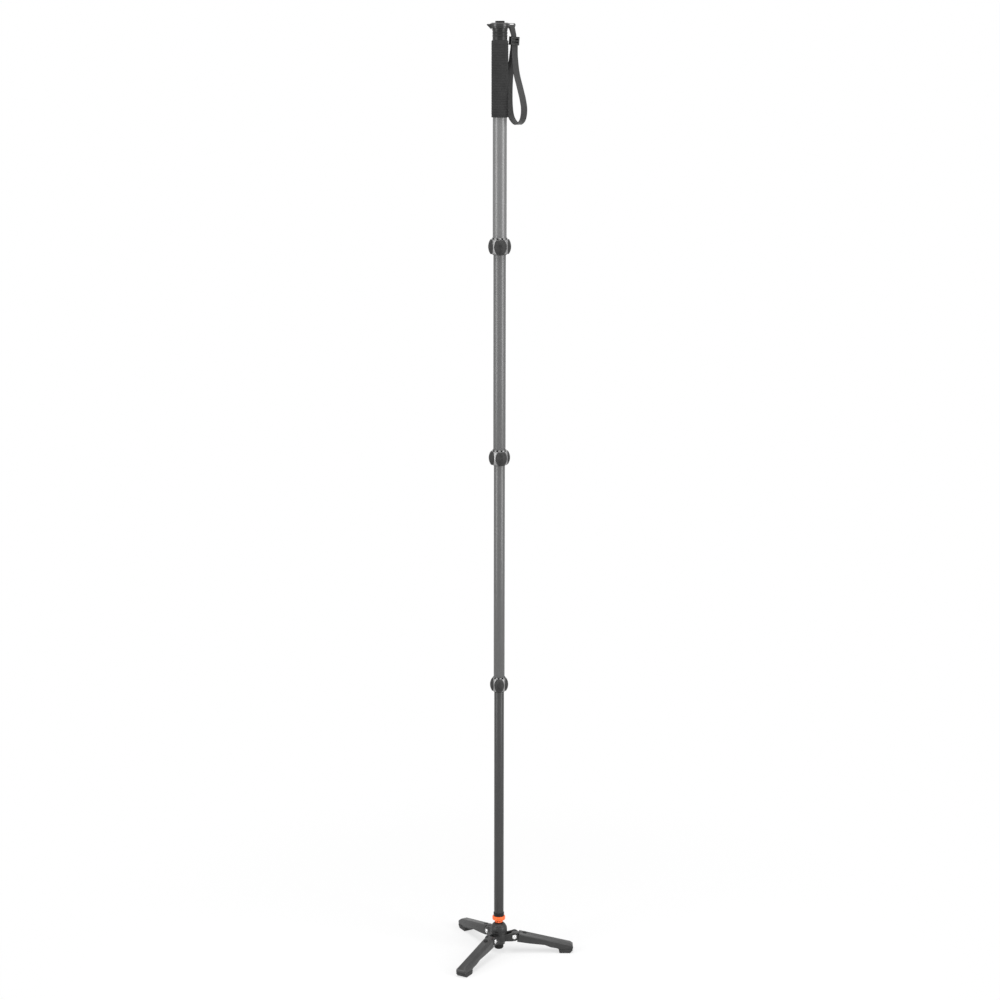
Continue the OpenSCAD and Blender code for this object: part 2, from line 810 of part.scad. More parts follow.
// Metal collar that screws up the sleeve and lifts the collet
module lock_collar(i) {
  inner = tube_r(i + 1);
  thread_r = sleeve_r(i) + free_gap;
  top = collar_h(i);
  color(metal_grey)
    translate([0, 0, lock_z[i]])
      rotate_extrude()
        polygon(concat(
          [[inner + free_gap + seal_wall + bond_gap, 0]],
          [
            for (q = barrel_side(collar_r(i), top / 2, collar_sag(i), collar_steps))
              [q[0], q[1] + top / 2]
          ],
          [
            [thread_r, top], [thread_r, lip_h],
            [inner + free_gap + seal_wall + bond_gap, lip_h]
          ]
        ));
}

// Bulging rubber pads round a collar
module lock_pads(i) {
  half = collar_h(i) / 2;
  sag = pad_rise + collar_sag(i) - pad_edge;
  color(rubber_black)
    translate([0, 0, lock_z[i] + half])
      for (k = [0:pad_count - 1])
        rotate([0, 0, lock_turn[i] + 360 * k / pad_count])
          difference() {
            translate([pad_middle(i), 0, 0])
              rotate_extrude()
                polygon(concat(
                  [[0, -pad_half(i)]],
                  barrel_side(pad_bulge(i), pad_half(i), sag, pad_steps),
                  [[0, pad_half(i)]]
                ));
            rotate_extrude()
              polygon(concat(
                [[0, -half]],
                barrel_side(collar_r(i) + bond_gap, half, collar_sag(i), collar_steps),
                [[0, half]]
              ));
          }
}

// Wiper ring under a collar, round the inner tube
module dust_seal(i) {
  inner = tube_r(i + 1);
  color(rubber_black)
    translate([0, 0, lock_z[i]])
      rotate_extrude()
        polygon([
          [inner + free_gap, -seal_drop],
          [inner + free_gap + seal_wall + seal_lip - seal_bevel, -seal_drop],
          [inner + free_gap + seal_wall + seal_lip, seal_bevel - seal_drop],
          [inner + free_gap + seal_wall + seal_lip, -bond_gap], [inner + free_gap + seal_wall, -bond_gap],
          [inner + free_gap + seal_wall, lip_h - bond_gap], [inner + free_gap, lip_h - bond_gap]
        ]);
}

// Soft grip with fine ribs
module grip() {
  ribs = floor((grip_len - 3 * grip_bevel) / rib_pitch);
  first = (grip_len - ribs * rib_pitch) / 2;
  color(grip_grey)
    translate([0, 0, grip_z])
      rotate_extrude()
        polygon(concat(
          [[tube_r(0) + bond_gap, 0], [grip_r - grip_foot, 0], [grip_r, grip_foot]],
          [
            for (k = [0:ribs - 1])
              for (p = [
                [grip_r, rib_bevel], [grip_r, rib_pitch - 2 * rib_bevel],
                [grip_r - rib_depth, rib_pitch - rib_bevel], [grip_r - rib_depth, rib_pitch - rib_bevel / 2]
              ])
                [p[0], first + k * rib_pitch + p[1]]
          ],
          [
            [grip_r, grip_len - grip_bevel], [grip_r - grip_bevel, grip_len],
            [tube_r(0) + bond_gap, grip_len]
          ]
        ));
}

// Neck with raised rings, bonded into the top tube
module neck_collar() {
  ring_gap = neck_h / (neck_rings + 1);
  color(dark_metal)
    rotate_extrude()
      polygon(concat(
        [
          [0, grip_top - plug_len], [bore_r(0) - bond_gap - neck_bevel, grip_top - plug_len],
          [bore_r(0) - bond_gap, grip_top - plug_len + neck_bevel],
          [bore_r(0) - bond_gap, grip_top + bond_gap], [neck_r - neck_step, grip_top + bond_gap]
        ],
        [
          for (k = [1:neck_rings])
            for (p = [[-neck_step, -1], [-neck_ring_depth, -0.5], [-neck_ring_depth, 0.5], [0, 1]])
              [neck_r + p[0], grip_top + k * ring_gap + p[1] * neck_ring_h]
        ],
        [
          [neck_r, neck_top - bond_gap], [spigot_r, neck_top - bond_gap],
          [spigot_r, neck_top + spigot_h], [0, neck_top + spigot_h]
        ]
      ));
}

// Camera platform with a pointed lug and a strap lug
module top_plate() {
  color(metal_grey)
    difference() {
      union() {
        rotate_extrude()
          polygon([
            [0, neck_top], [flange_r - plate_edge, neck_top], [flange_r, neck_top + plate_edge],
            [flange_r, disc_z - flange_groove], [flange_r - flange_in, disc_z - flange_groove],
            [flange_r - flange_in, disc_z], [plate_r - plate_edge, disc_z], [plate_r, disc_z + plate_edge],
            [plate_r, plate_top - plate_bevel], [plate_r - 2 * plate_bevel, plate_top], [0, plate_top]
          ]);
        upright(lug_w)
          polygon([
            [-spigot_r - lug_root, plate_top - plate_bevel],
            [-lug_reach, plate_top - plate_bevel - lug_fall],
            [-lug_reach, plate_top - plate_bevel - lug_fall - lug_tip_h],
            [-lug_heel, neck_top - lug_drop], [-lug_heel, neck_top], [-spigot_r - lug_root, neck_top]
          ]);
        rotate([0, 0, strap_heading])
          strap_lug();
      }
      translate([0, 0, neck_top - over])
        cylinder(r = spigot_r + bond_gap, h = spigot_h + bond_gap + over);
      translate([0, 0, neck_top])
        cylinder(r = bush_r + bond_gap, h = plate_top);
    }
}

// Upright loop of metal whose lower bar carries the tether
module strap_lug() {
  window_in = bar_reach - bar_half;
  window_out = bar_reach + bar_half;
  lug_top = bar_z + bar_r + window_h;
  difference() {
    upright(lug_t)
      polygon([
        [spigot_r + lug_root, bar_z], [window_out, bar_z], [window_out + lug_arm, bar_z + bar_short],
        [window_out + lug_arm, lug_top - lug_corner], [window_out, lug_top],
        [spigot_r + lug_root, lug_top]
      ]);
    translate([window_in, -over - lug_t / 2, bar_z - over])
      cube([window_out - window_in, lug_t + 2 * over, window_h + bar_r + over - lug_beam]);
  }
  translate([spigot_r + lug_root, 0, bar_z])
    rotate([0, 90, 0])
      cylinder(r = bar_r, h = window_out + lug_arm - bar_short - spigot_r - lug_root);
}

// Rubber rest for the camera
module platform_pad() {
  color(rubber_black)
    rotate_extrude()
      polygon([
        [bush_r + 2 * bond_gap, plate_top], [rest_r, plate_top], [rest_r, rest_top - rest_bevel],
        [rest_r - rest_bevel, rest_top], [bush_r + 2 * bond_gap, rest_top]
      ]);
}

// Threaded bush for the camera screw
module thread_bush() {
  color(bright_steel)
    ring(bush_r, bush_bore_r, bush_z, rest_top - bush_sink - bush_z);
}

// Moves a drawing of sideways and up onto the strap's bar, with its width along the bar
module on_strap(w) {
  rotate([0, 0, strap_heading])
    translate([bar_reach, 0, bar_z])
      rotate([90, 0, -90])
        linear_extrude(height = w, center = true)
          children();
}

// Folded webbing between the lug's bar and the buckle
module strap_tether() {
  fold_r = bar_r + free_gap;
  color(webbing_grey)
    difference() {
      union() {
        on_strap(tether_w)
          circle(r = fold_r + tether_t);
        on_strap(tether_w)
          polygon([
            [-fold_r - tether_t / 2, 0], [fold_r + tether_t / 2, 0], [tether_lean + tether_t, -tether_bend],
            [tether_lean + tether_t, -tether_drop], [tether_lean - tether_t, -tether_drop],
            [tether_lean - tether_t, -tether_bend]
          ]);
      }
      on_strap(tether_w + over)
        circle(r = fold_r);
    }
}

// Slide buckle: a flat sleeve with two slots across its face
module strap_buckle() {
  color(rubber_black)
    rotate([0, 0, strap_heading])
      translate([bar_reach, -buckle_place[0], bar_z + buckle_place[1]])
        rotate([0, buckle_lean, 0])
          difference() {
            cube([buckle_w, buckle_t, buckle_h], center = true);
            cube([buckle_w - 2 * buckle_wall, buckle_t - 2 * buckle_face, buckle_h + over], center = true);
            for (side = [-1, 1])
              translate([0, -buckle_t / 2, side * (slot_h + slot_web) / 2])
                cube([buckle_w - 3 * buckle_wall, buckle_t / 2, slot_h], center = true);
          }
}

// Smooth point between p[i] and p[i + 1]
function between(p, i, t) =
  let (
    a = p[max(i - 1, 0)],
    b = p[i],
    c = p[i + 1],
    d = p[min(i + 2, len(p) - 1)]
  )
    0.5 * (2 * b + (c - a) * t + (2 * a - 5 * b + 4 * c - d) * t * t + (3 * b - a - 3 * c + d) * t * t * t);

loop_line = concat(
  [
    for (i = [0:len(loop_route) - 2])
      for (n = [0:loop_steps - 1])
        between(loop_route, i, n / loop_steps)
  ],
  [loop_route[len(loop_route) - 1]]
);

// Point beside the line at index i, shifted to its side
function beside(line, i, shift) =
  let (
    a = line[max(i - 1, 0)],
    b = line[min(i + 1, len(line) - 1)],
    along = (b - a) / norm(b - a)
  )
    line[i] + shift * [along[1], -along[0]];

// Hand loop of webbing
module strap_loop() {
  last = len(loop_line) - 1;
  color(webbing_grey)
    on_strap(web_w)
      polygon(concat(
        [for (i = [0:last]) beside(loop_line, i, web_t / 2)],
        [for (i = [0:last]) beside(loop_line, last - i, -web_t / 2)]
      ));
}

hub_body();
hub_dome();
seat_spring();
centre_foot();
foot_stud();
pivot_bolts();
pivot_nuts();
pivot_washers();
leg_beam(0);  // leg_beam_1
leg_beam(1);  // leg_beam_2
leg_beam(2);  // leg_beam_3
toe_pad(0);  // toe_pad_1
toe_pad(1);  // toe_pad_2
toe_pad(2);  // toe_pad_3
leg_button(0);  // leg_button_1
leg_button(1);  // leg_button_2
leg_button(2);  // leg_button_3
button_spring(0);  // button_spring_1
button_spring(1);  // button_spring_2
button_spring(2);  // button_spring_3
ball_seat();
ball_stem();
tilt_plug();
tilt_lock_ring();
end_ferrule();
end_plug();
pole_tube(0);  // tube_1
pole_tube(1);  // tube_2
pole_tube(2);  // tube_3
pole_tube(3);  // tube_4
guide_shims(1);  // guide_shims_2
guide_shims(2);  // guide_shims_3
guide_shims(3);  // guide_shims_4
lock_sleeve(0);  // lock_sleeve_1
lock_sleeve(1);  // lock_sleeve_2
lock_sleeve(2);  // lock_sleeve_3
collet(0);  // collet_1
collet(1);  // collet_2
collet(2);  // collet_3
lock_collar(0);  // lock_collar_1
lock_collar(1);  // lock_collar_2
lock_collar(2);  // lock_collar_3
lock_pads(0);  // lock_pads_1
lock_pads(1);  // lock_pads_2
lock_pads(2);  // lock_pads_3
dust_seal(0);  // dust_seal_1
dust_seal(1);  // dust_seal_2
dust_seal(2);  // dust_seal_3
grip();
neck_collar();
top_plate();
platform_pad();
thread_bush();
strap_tether();
strap_buckle();
strap_loop();
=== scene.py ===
import math

import bmesh
import bpy
from mathutils import Matrix, Vector


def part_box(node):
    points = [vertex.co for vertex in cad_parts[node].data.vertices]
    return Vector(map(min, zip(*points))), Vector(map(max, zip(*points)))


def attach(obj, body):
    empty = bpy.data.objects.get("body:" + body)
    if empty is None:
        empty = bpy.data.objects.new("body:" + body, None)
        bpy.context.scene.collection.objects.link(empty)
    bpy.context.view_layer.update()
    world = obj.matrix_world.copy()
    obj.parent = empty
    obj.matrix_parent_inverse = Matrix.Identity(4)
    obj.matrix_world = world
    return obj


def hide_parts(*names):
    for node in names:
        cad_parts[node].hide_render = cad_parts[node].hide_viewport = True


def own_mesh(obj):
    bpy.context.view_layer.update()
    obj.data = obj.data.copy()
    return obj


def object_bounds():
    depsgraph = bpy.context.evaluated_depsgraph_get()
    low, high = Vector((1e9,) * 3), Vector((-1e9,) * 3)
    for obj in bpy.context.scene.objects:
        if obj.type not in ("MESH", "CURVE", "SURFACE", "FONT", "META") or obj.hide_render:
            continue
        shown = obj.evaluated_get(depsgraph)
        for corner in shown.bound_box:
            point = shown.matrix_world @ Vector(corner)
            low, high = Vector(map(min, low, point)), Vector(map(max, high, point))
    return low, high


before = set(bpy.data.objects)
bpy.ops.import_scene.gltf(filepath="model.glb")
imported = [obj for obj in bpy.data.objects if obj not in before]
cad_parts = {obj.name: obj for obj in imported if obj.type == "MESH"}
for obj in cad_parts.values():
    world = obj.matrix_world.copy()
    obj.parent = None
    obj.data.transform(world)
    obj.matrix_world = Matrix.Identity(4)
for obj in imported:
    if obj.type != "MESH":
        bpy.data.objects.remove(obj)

cad_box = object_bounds()

# Studio. A white sweep with two tall soft boxes beside the pole and a broad soft light overhead.
# The camera stands 4.7 m back at the height of the platform and looks a little down.
FOCAL_LENGTH = 80.4
CAMERA_SPOT = (0.0014, -4.657, 1.9855)
LOOK_DOWN = 11.76
ROLL = 0.075
AMBIENT = 0.32
scene = bpy.context.scene
scene.view_settings.view_transform = "Standard"
lens = bpy.data.cameras.new("studio_camera")
lens.sensor_width = 36
lens.lens = FOCAL_LENGTH
lens.clip_end = 200
camera = bpy.data.objects.new("studio_camera", lens)
scene.collection.objects.link(camera)
camera.matrix_world = (
    Matrix.Translation(CAMERA_SPOT)
    @ Matrix.Rotation(math.radians(90 - LOOK_DOWN), 4, "X")
    @ Matrix.Rotation(math.radians(ROLL), 4, "Z")
)
scene.camera = camera


def soft_box(name, place, aim, width, height, watts):
    lamp = bpy.data.lights.new(name, "AREA")
    lamp.shape = "RECTANGLE"
    lamp.size = width
    lamp.size_y = height
    lamp.energy = watts
    stand = bpy.data.objects.new(name, lamp)
    scene.collection.objects.link(stand)
    turn = (Vector(aim) - Vector(place)).to_track_quat("-Z", "Y")
    stand.matrix_world = Matrix.Translation(place) @ turn.to_matrix().to_4x4()


soft_box("left_soft_box", (-2.3, -1.35, 1.4), (0, 0, 1.3), 1.1, 2.7, 48)
soft_box("right_soft_box", (2.3, -1.35, 1.4), (0, 0, 1.3), 1.1, 2.7, 58)
soft_box("overhead_soft_box", (0, -0.6, 5.2), (0, 0, 1), 2.6, 2.6, 170)


def seen_directly(tree):
    """Mask that is 1 for what the lens sees, straight or in a mirror or glass."""
    path = tree.nodes.new("ShaderNodeLightPath")
    reflected = tree.nodes.new("ShaderNodeMath")
    reflected.operation = "MAXIMUM"
    tree.links.new(path.outputs["Is Glossy Ray"], reflected.inputs[0])
    tree.links.new(path.outputs["Is Transmission Ray"], reflected.inputs[1])
    both = tree.nodes.new("ShaderNodeMath")
    both.operation = "MAXIMUM"
    tree.links.new(path.outputs["Is Camera Ray"], both.inputs[0])
    tree.links.new(reflected.outputs[0], both.inputs[1])
    return both.outputs[0]


world = bpy.data.worlds.new("white_studio")
scene.world = world
world.use_nodes = True
tree = world.node_tree
ambient = tree.nodes["Background"]
ambient.inputs["Color"].default_value = (1, 1, 1, 1)
ambient.inputs["Strength"].default_value = AMBIENT
backdrop = tree.nodes.new("ShaderNodeBackground")
backdrop.inputs["Color"].default_value = (1, 1, 1, 1)
backdrop.inputs["Strength"].default_value = 1.0
choice = tree.nodes.new("ShaderNodeMixShader")
tree.links.new(seen_directly(tree), choice.inputs["Fac"])
tree.links.new(ambient.outputs[0], choice.inputs[1])
tree.links.new(backdrop.outputs[0], choice.inputs[2])
tree.links.new(choice.outputs[0], tree.nodes["World Output"].inputs["Surface"])

# Floor. A disc of matt white board that keeps a faint shadow round the feet and is plain white
# further out, where it runs into the backdrop.
FLOOR_Z = cad_box[0].z
FLOOR_RADIUS = 3.0
BOARD_WHITE = 0.82
SHADOW_CORE, SHADOW_RADIUS = 0.15, 1.1
SHADOW_KEPT = 0.35
bm = bmesh.new()
bmesh.ops.create_circle(bm, cap_ends=True, segments=96, radius=FLOOR_RADIUS)
bmesh.ops.translate(bm, vec=(0, 0, FLOOR_Z), verts=bm.verts)
mesh = bpy.data.meshes.new("floor")
bm.to_mesh(mesh)
bm.free()
floor = bpy.data.objects.new("floor", mesh)
scene.collection.objects.link(floor)
board = bpy.data.materials.new("white_board")
board.use_nodes = True
tree = board.node_tree
tree.nodes.remove(tree.nodes["Principled BSDF"])
matt = tree.nodes.new("ShaderNodeBsdfDiffuse")
matt.inputs["Color"].default_value = (BOARD_WHITE, BOARD_WHITE, BOARD_WHITE, 1)
white = tree.nodes.new("ShaderNodeEmission")
where = tree.nodes.new("ShaderNodeTexCoord")
reach = tree.nodes.new("ShaderNodeVectorMath")
reach.operation = "LENGTH"
tree.links.new(where.outputs["Object"], reach.inputs[0])
fade = tree.nodes.new("ShaderNodeMapRange")
fade.interpolation_type = "SMOOTHSTEP"
fade.inputs["From Min"].default_value = SHADOW_CORE
fade.inputs["From Max"].default_value = SHADOW_RADIUS
fade.inputs["To Min"].default_value = SHADOW_KEPT
fade.inputs["To Max"].default_value = 0.0
tree.links.new(reach.outputs["Value"], fade.inputs["Value"])
near = tree.nodes.new("ShaderNodeMixShader")
tree.links.new(fade.outputs["Result"], near.inputs["Fac"])
tree.links.new(white.outputs[0], near.inputs[1])
tree.links.new(matt.outputs[0], near.inputs[2])
shown = tree.nodes.new("ShaderNodeMixShader")
tree.links.new(seen_directly(tree), shown.inputs["Fac"])
tree.links.new(matt.outputs[0], shown.inputs[1])
tree.links.new(near.outputs[0], shown.inputs[2])
tree.links.new(shown.outputs[0], tree.nodes["Material Output"].inputs["Surface"])
mesh.materials.append(board)

# Hub. A cast aluminium body with three pairs of ears, powder coated almost black.
# The cast solid keeps its form, and its sharp edges are rounded over as on a casting.
MM = 0.001
LEG_HEADINGS = [math.radians(120 * k) for k in range(3)]
GRAIN_SHARE = 0.45


def skin_group(name, *values):
    """Empty node group for a surface: two colours and some values in, colour, gloss and relief out."""
    group = bpy.data.node_groups.new(name, "ShaderNodeTree")
    for labels, way, kind in (
        (("Dark", "Light"), "INPUT", "NodeSocketColor"),
        (values, "INPUT", "NodeSocketFloat"),
        (("Color",), "OUTPUT", "NodeSocketColor"),
        (("Roughness", "Height"), "OUTPUT", "NodeSocketFloat"),
    ):
        for label in labels:
            group.interface.new_socket(label, in_out=way, socket_type=kind)
    return group


def link_skin(group, given, mix, patches, height):
    """Lets one noise mix the two colours, one vary the gloss and one give the relief."""
    tone = group.nodes.new("ShaderNodeMix")
    tone.data_type = "RGBA"
    group.links.new(mix, tone.inputs["Factor"])
    group.links.new(given.outputs["Dark"], tone.inputs["A"])
    group.links.new(given.outputs["Light"], tone.inputs["B"])
    gloss = group.nodes.new("ShaderNodeMapRange")
    gloss.inputs["From Min"].default_value = 0.3
    gloss.inputs["From Max"].default_value = 0.7
    group.links.new(patches, gloss.inputs["Value"])
    group.links.new(given.outputs["Smooth"], gloss.inputs["To Min"])
    group.links.new(given.outputs["Rough"], gloss.inputs["To Max"])
    result = group.nodes.new("NodeGroupOutput")
    group.links.new(tone.outputs["Result"], result.inputs["Color"])
    group.links.new(gloss.outputs["Result"], result.inputs["Roughness"])
    group.links.new(height, result.inputs["Height"])


def surface_grain():
    """Node group for a coated or moulded skin: a fine grain over slow, cloudy changes of tone."""
    group = skin_group("surface_grain", "Grain", "Clouds", "Smooth", "Rough")
    given = group.nodes.new("NodeGroupInput")
    where = group.nodes.new("ShaderNodeTexCoord")
    fine = group.nodes.new("ShaderNodeTexNoise")
    fine.inputs["Detail"].default_value = 3
    slow = group.nodes.new("ShaderNodeTexNoise")
    slow.inputs["Detail"].default_value = 4
    for noise, label in ((fine, "Grain"), (slow, "Clouds")):
        group.links.new(where.outputs["Object"], noise.inputs["Vector"])
        group.links.new(given.outputs[label], noise.inputs["Scale"])
    rest = group.nodes.new("ShaderNodeMath")
    rest.operation = "MULTIPLY"
    rest.inputs[1].default_value = 1 - GRAIN_SHARE
    group.links.new(slow.outputs["Fac"], rest.inputs[0])
    blend = group.nodes.new("ShaderNodeMath")
    blend.operation = "MULTIPLY_ADD"
    blend.inputs[1].default_value = GRAIN_SHARE
    group.links.new(fine.outputs["Fac"], blend.inputs[0])
    group.links.new(rest.outputs[0], blend.inputs[2])
    spread = group.nodes.new("ShaderNodeMapRange")
    spread.inputs["From Min"].default_value = 0.32
    spread.inputs["From Max"].default_value = 0.68
    group.links.new(blend.outputs[0], spread.inputs["Value"])
    link_skin(group, given, spread.outputs["Result"], slow.outputs["Fac"], fine.outputs["Fac"])
    return group


GRAIN = surface_grain()


def plain(*tone):
    return (*tone, 1) if len(tone) == 3 else (tone[0], tone[0], tone[0], 1)


def skinned(name, group, settings, bump, depth, metallic, specular):
    """Material whose colour, gloss and relief come from a node group."""
    material = bpy.data.materials.new(name)
    material.use_nodes = True
    tree = material.node_tree
    shader = tree.nodes["Principled BSDF"]
    shader.inputs["Metallic"].default_value = metallic
    shader.inputs["Specular IOR Level"].default_value = specular
    skin = tree.nodes.new("ShaderNodeGroup")
    skin.name = "Skin"
    skin.node_tree = group
    for label, value in settings.items():
        skin.inputs[label].default_value = value
    relief = tree.nodes.new("ShaderNodeBump")
    relief.name = "Relief"
    relief.inputs["Strength"].default_value = bump
    relief.inputs["Distance"].default_value = depth
    tree.links.new(skin.outputs["Color"], shader.inputs["Base Color"])
    tree.links.new(skin.outputs["Roughness"], shader.inputs["Roughness"])
    tree.links.new(skin.outputs["Height"], relief.inputs["Height"])
    tree.links.new(relief.outputs["Normal"], shader.inputs["Normal"])
    return material


def coated(name, dark, light, grain=900, clouds=35, rough=(0.45, 0.6), bump=0.12, depth=0.1 * MM, metallic=0.0,
           specular=0.5):
    """Material of a coated, anodised or moulded piece."""
    settings = {"Dark": plain(*dark), "Light": plain(*light), "Grain": grain, "Clouds": clouds,
                "Smooth": rough[0], "Rough": rough[1]}
    return skinned(name, GRAIN, settings, bump, depth, metallic, specular)


def solid_of(node, flat=0.6):
    """Copy of a CAD solid, with triangles that lie within the flat angle merged into whole faces."""
    bm = bmesh.new()
    bm.from_mesh(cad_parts[node].data)
    bmesh.ops.remove_doubles(bm, verts=bm.verts, dist=2e-6)
    bmesh.ops.dissolve_limit(bm, angle_limit=math.radians(flat), verts=bm.verts, edges=bm.edges)
    bmesh.ops.remove_doubles(bm, verts=bm.verts, dist=0.1 * MM)
    return bm


def ease(bm, width, segments=2, angle=28):
    """Rounds over every edge that is sharper than the angle."""
    sharp = [e for e in bm.edges if e.is_manifold and e.calc_face_angle() > math.radians(angle)]
    bmesh.ops.bevel(bm, geom=sharp, offset=width, offset_type="OFFSET", segments=segments, profile=0.5,
                    affect="EDGES", clamp_overlap=True, material=-1)
    bmesh.ops.dissolve_degenerate(bm, edges=bm.edges, dist=1e-6)
    return bm


def piece(name, bm, material, body, slot, *nodes, sharp=35):
    """Finished piece that rides on a body and stands for its CAD nodes."""
    mesh = bpy.data.meshes.new(name)
    bm.to_mesh(mesh)
    bm.free()
    mesh.polygons.foreach_set("use_smooth", [True] * len(mesh.polygons))
    mesh.set_sharp_from_angle(angle=math.radians(sharp))
    mesh.materials.append(material)
    made = bpy.data.objects.new(name, mesh)
    scene.collection.objects.link(made)
    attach(made, body)
    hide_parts(*nodes)
    return made


powder_coat = coated("black_powder_coat", (0.016,), (0.034,), grain=1600, rough=(0.36, 0.46), bump=0.25,
                     specular=0.3)
piece("hub_casting", ease(solid_of("hub_body"), 0.5 * MM), powder_coat, "base", "dark_metal", "hub_body")

# Domed cover. Turned from aluminium, screwed down over the ball and coated like the hub.
# Two fine grooves run round it, and the rim of its mouth is rounded where the orange plug enters.
DOME_R = 18.4
BALL_Z = 44.5
SEAM_Z = 36
MOUTH_R = 9.3
CAVITY_R = 12.3
SEAT_R, SEAT_TOP = 14.4, 47.3
SCREW_R, SCREW_TOP = 16.2, 41.3
LOW_GROOVE_Z, HIGH_GROOVE_TURN = 41.3, 29
GROOVE_DEPTH = 0.5


def lathe(profile, steps=96):
    """Closed solid turned about the pole axis, from radii and heights in millimetres."""
    bm = bmesh.new()
    line = [bm.verts.new((r * MM, 0, z * MM)) for r, z in profile]
    edges = [bm.edges.new(pair) for pair in zip(line, line[1:] + line[:1])]
    bmesh.ops.spin(bm, geom=line + edges, cent=(0, 0, 0), axis=(0, 0, 1), angle=2 * math.pi, steps=steps,
                   use_merge=True)
    bmesh.ops.remove_doubles(bm, verts=bm.verts, dist=1e-6)
    bmesh.ops.dissolve_degenerate(bm, edges=bm.edges, dist=1e-7)
    bmesh.ops.recalc_face_normals(bm, faces=bm.faces)
    return bm


def arc(radius, middle, start, stop, count):
    """Points of an arc in the turning plane, angles in degrees up from the outward direction."""
    turns = [math.radians(start + (stop - start) * k / count) for k in range(count + 1)]
    return [(radius * math.cos(a), middle + radius * math.sin(a)) for a in turns]


def groove(radius, height, depth=GROOVE_DEPTH, half=0.45):
    """Points up a shallow groove, which is half as wide at its floor."""
    return [(radius, height - half), (radius - depth, height - half * 0.5),
            (radius - depth, height + half * 0.5), (radius, height + half)]


mouth_turn = math.degrees(math.acos(MOUTH_R / DOME_R))
cavity_turn = math.degrees(math.acos(MOUTH_R / CAVITY_R))
dome = lathe(
    [(DOME_R, SEAM_Z)] + groove(DOME_R, LOW_GROOVE_Z) + arc(DOME_R, BALL_Z, 2, HIGH_GROOVE_TURN - 2, 8)
    + arc(DOME_R - GROOVE_DEPTH, BALL_Z, HIGH_GROOVE_TURN - 1, HIGH_GROOVE_TURN + 1, 1)
    + arc(DOME_R, BALL_Z, HIGH_GROOVE_TURN + 2, mouth_turn, 10) + arc(CAVITY_R, BALL_Z, cavity_turn, 14, 8)
    + [(SEAT_R, SEAT_TOP), (SEAT_R, SCREW_TOP), (SCREW_R, SCREW_TOP), (SCREW_R, SEAM_Z)]
)
piece("domed_cover", ease(dome, 0.25 * MM, angle=40), powder_coat, "base", "dark_metal", "hub_dome")

# Centre foot. A moulded rubber foot on a steel stud under the hub, with a waist below its top
# and rings in its sole that hold on smooth floors.
FOOT_R, FOOT_WAIST_R, FOOT_H = 10.3, 9.3, 11
SOLE_RINGS = [(0, 1), (2.5, 1), (2.8, 0), (4.6, 0), (4.9, 1), (6, 1), (6.3, 0), (8.3, 0)]
foot = lathe(
    SOLE_RINGS + [(FOOT_R, 2)] + groove(FOOT_R, 3.6, half=0.5) + groove(FOOT_R, 5.4, half=0.5)
    + [(FOOT_R, 7), (FOOT_WAIST_R, 8), (FOOT_WAIST_R, FOOT_H), (0, FOOT_H)]
)
black_rubber = coated("black_rubber", (0.012,), (0.022,), grain=1300, rough=(0.72, 0.85), bump=0.35,
                      specular=0.2)
piece("centre_foot_rubber", ease(foot, 0.3 * MM, angle=30), black_rubber, "base", "rubber", "centre_foot")

# Leg pivots. Bright steel bolts with low domed heads, each closed by a round nut on the far side.
# They pass through both ears of the hub and the knuckle of the leg.
PIN_X, PIN_Z = 34.6, 29.5
LEG_W = 23.0
HEAD_R, HEAD_H = 4.8, 1.6
SHANK_R, SHANK_EDGE = 3.0, 0.4
NUT_BORE = 2.05
SMALL_STEPS = 40
TOOL_MARK = 0.05 * MM


def turning_lines():
    """Node group for turned metal: fine rings left by the tool, across the pole axis."""
    group = skin_group("turning_lines", "Lines", "Smooth", "Rough")
    given = group.nodes.new("NodeGroupInput")
    where = group.nodes.new("ShaderNodeTexCoord")
    squeeze = group.nodes.new("ShaderNodeMapping")
    squeeze.inputs["Scale"].default_value = (0.02, 0.02, 1)
    lines = group.nodes.new("ShaderNodeTexNoise")
    lines.inputs["Detail"].default_value = 2
    patches = group.nodes.new("ShaderNodeTexNoise")
    patches.inputs["Scale"].default_value = 60
    group.links.new(where.outputs["Object"], squeeze.inputs["Vector"])
    group.links.new(squeeze.outputs["Vector"], lines.inputs["Vector"])
    group.links.new(given.outputs["Lines"], lines.inputs["Scale"])
    group.links.new(where.outputs["Object"], patches.inputs["Vector"])
    link_skin(group, given, lines.outputs["Fac"], patches.outputs["Fac"], lines.outputs["Fac"])
    return group


TURNING = turning_lines()


def turned_metal(name, dark, light, lines=2500, rough=(0.25, 0.4), bump=0.08, metallic=1.0, specular=0.5):
    """Material of a lathe-turned metal piece."""
    settings = {"Dark": plain(*dark), "Light": plain(*light), "Lines": lines, "Smooth": rough[0],
                "Rough": rough[1]}
    return skinned(name, TURNING, settings, bump, TOOL_MARK, metallic, specular)


def across_leg(side):
    """Turns a piece made about the pole axis onto a leg's pivot, facing one side of the leg."""
    return (
        Matrix.Translation((PIN_X * MM, side * LEG_W / 2 * MM, PIN_Z * MM))
        @ Matrix.Rotation(-side * math.pi / 2, 4, "X")
    )


def placed(bm, place):
    """Moves a piece made about the origin to its place."""
    bmesh.ops.transform(bm, matrix=place, verts=bm.verts)
    return bm


def repeated(bm, turns):
    """Adds copies of a piece, turned about the pole axis by the given angles."""
    first = bm.verts[:] + bm.edges[:] + bm.faces[:]
    for turn in turns:
        copy = bmesh.ops.duplicate(bm, geom=first)["geom"]
        bmesh.ops.transform(bm, matrix=Matrix.Rotation(turn, 4, "Z"),
                            verts=[v for v in copy if isinstance(v, bmesh.types.BMVert)])
    return bm


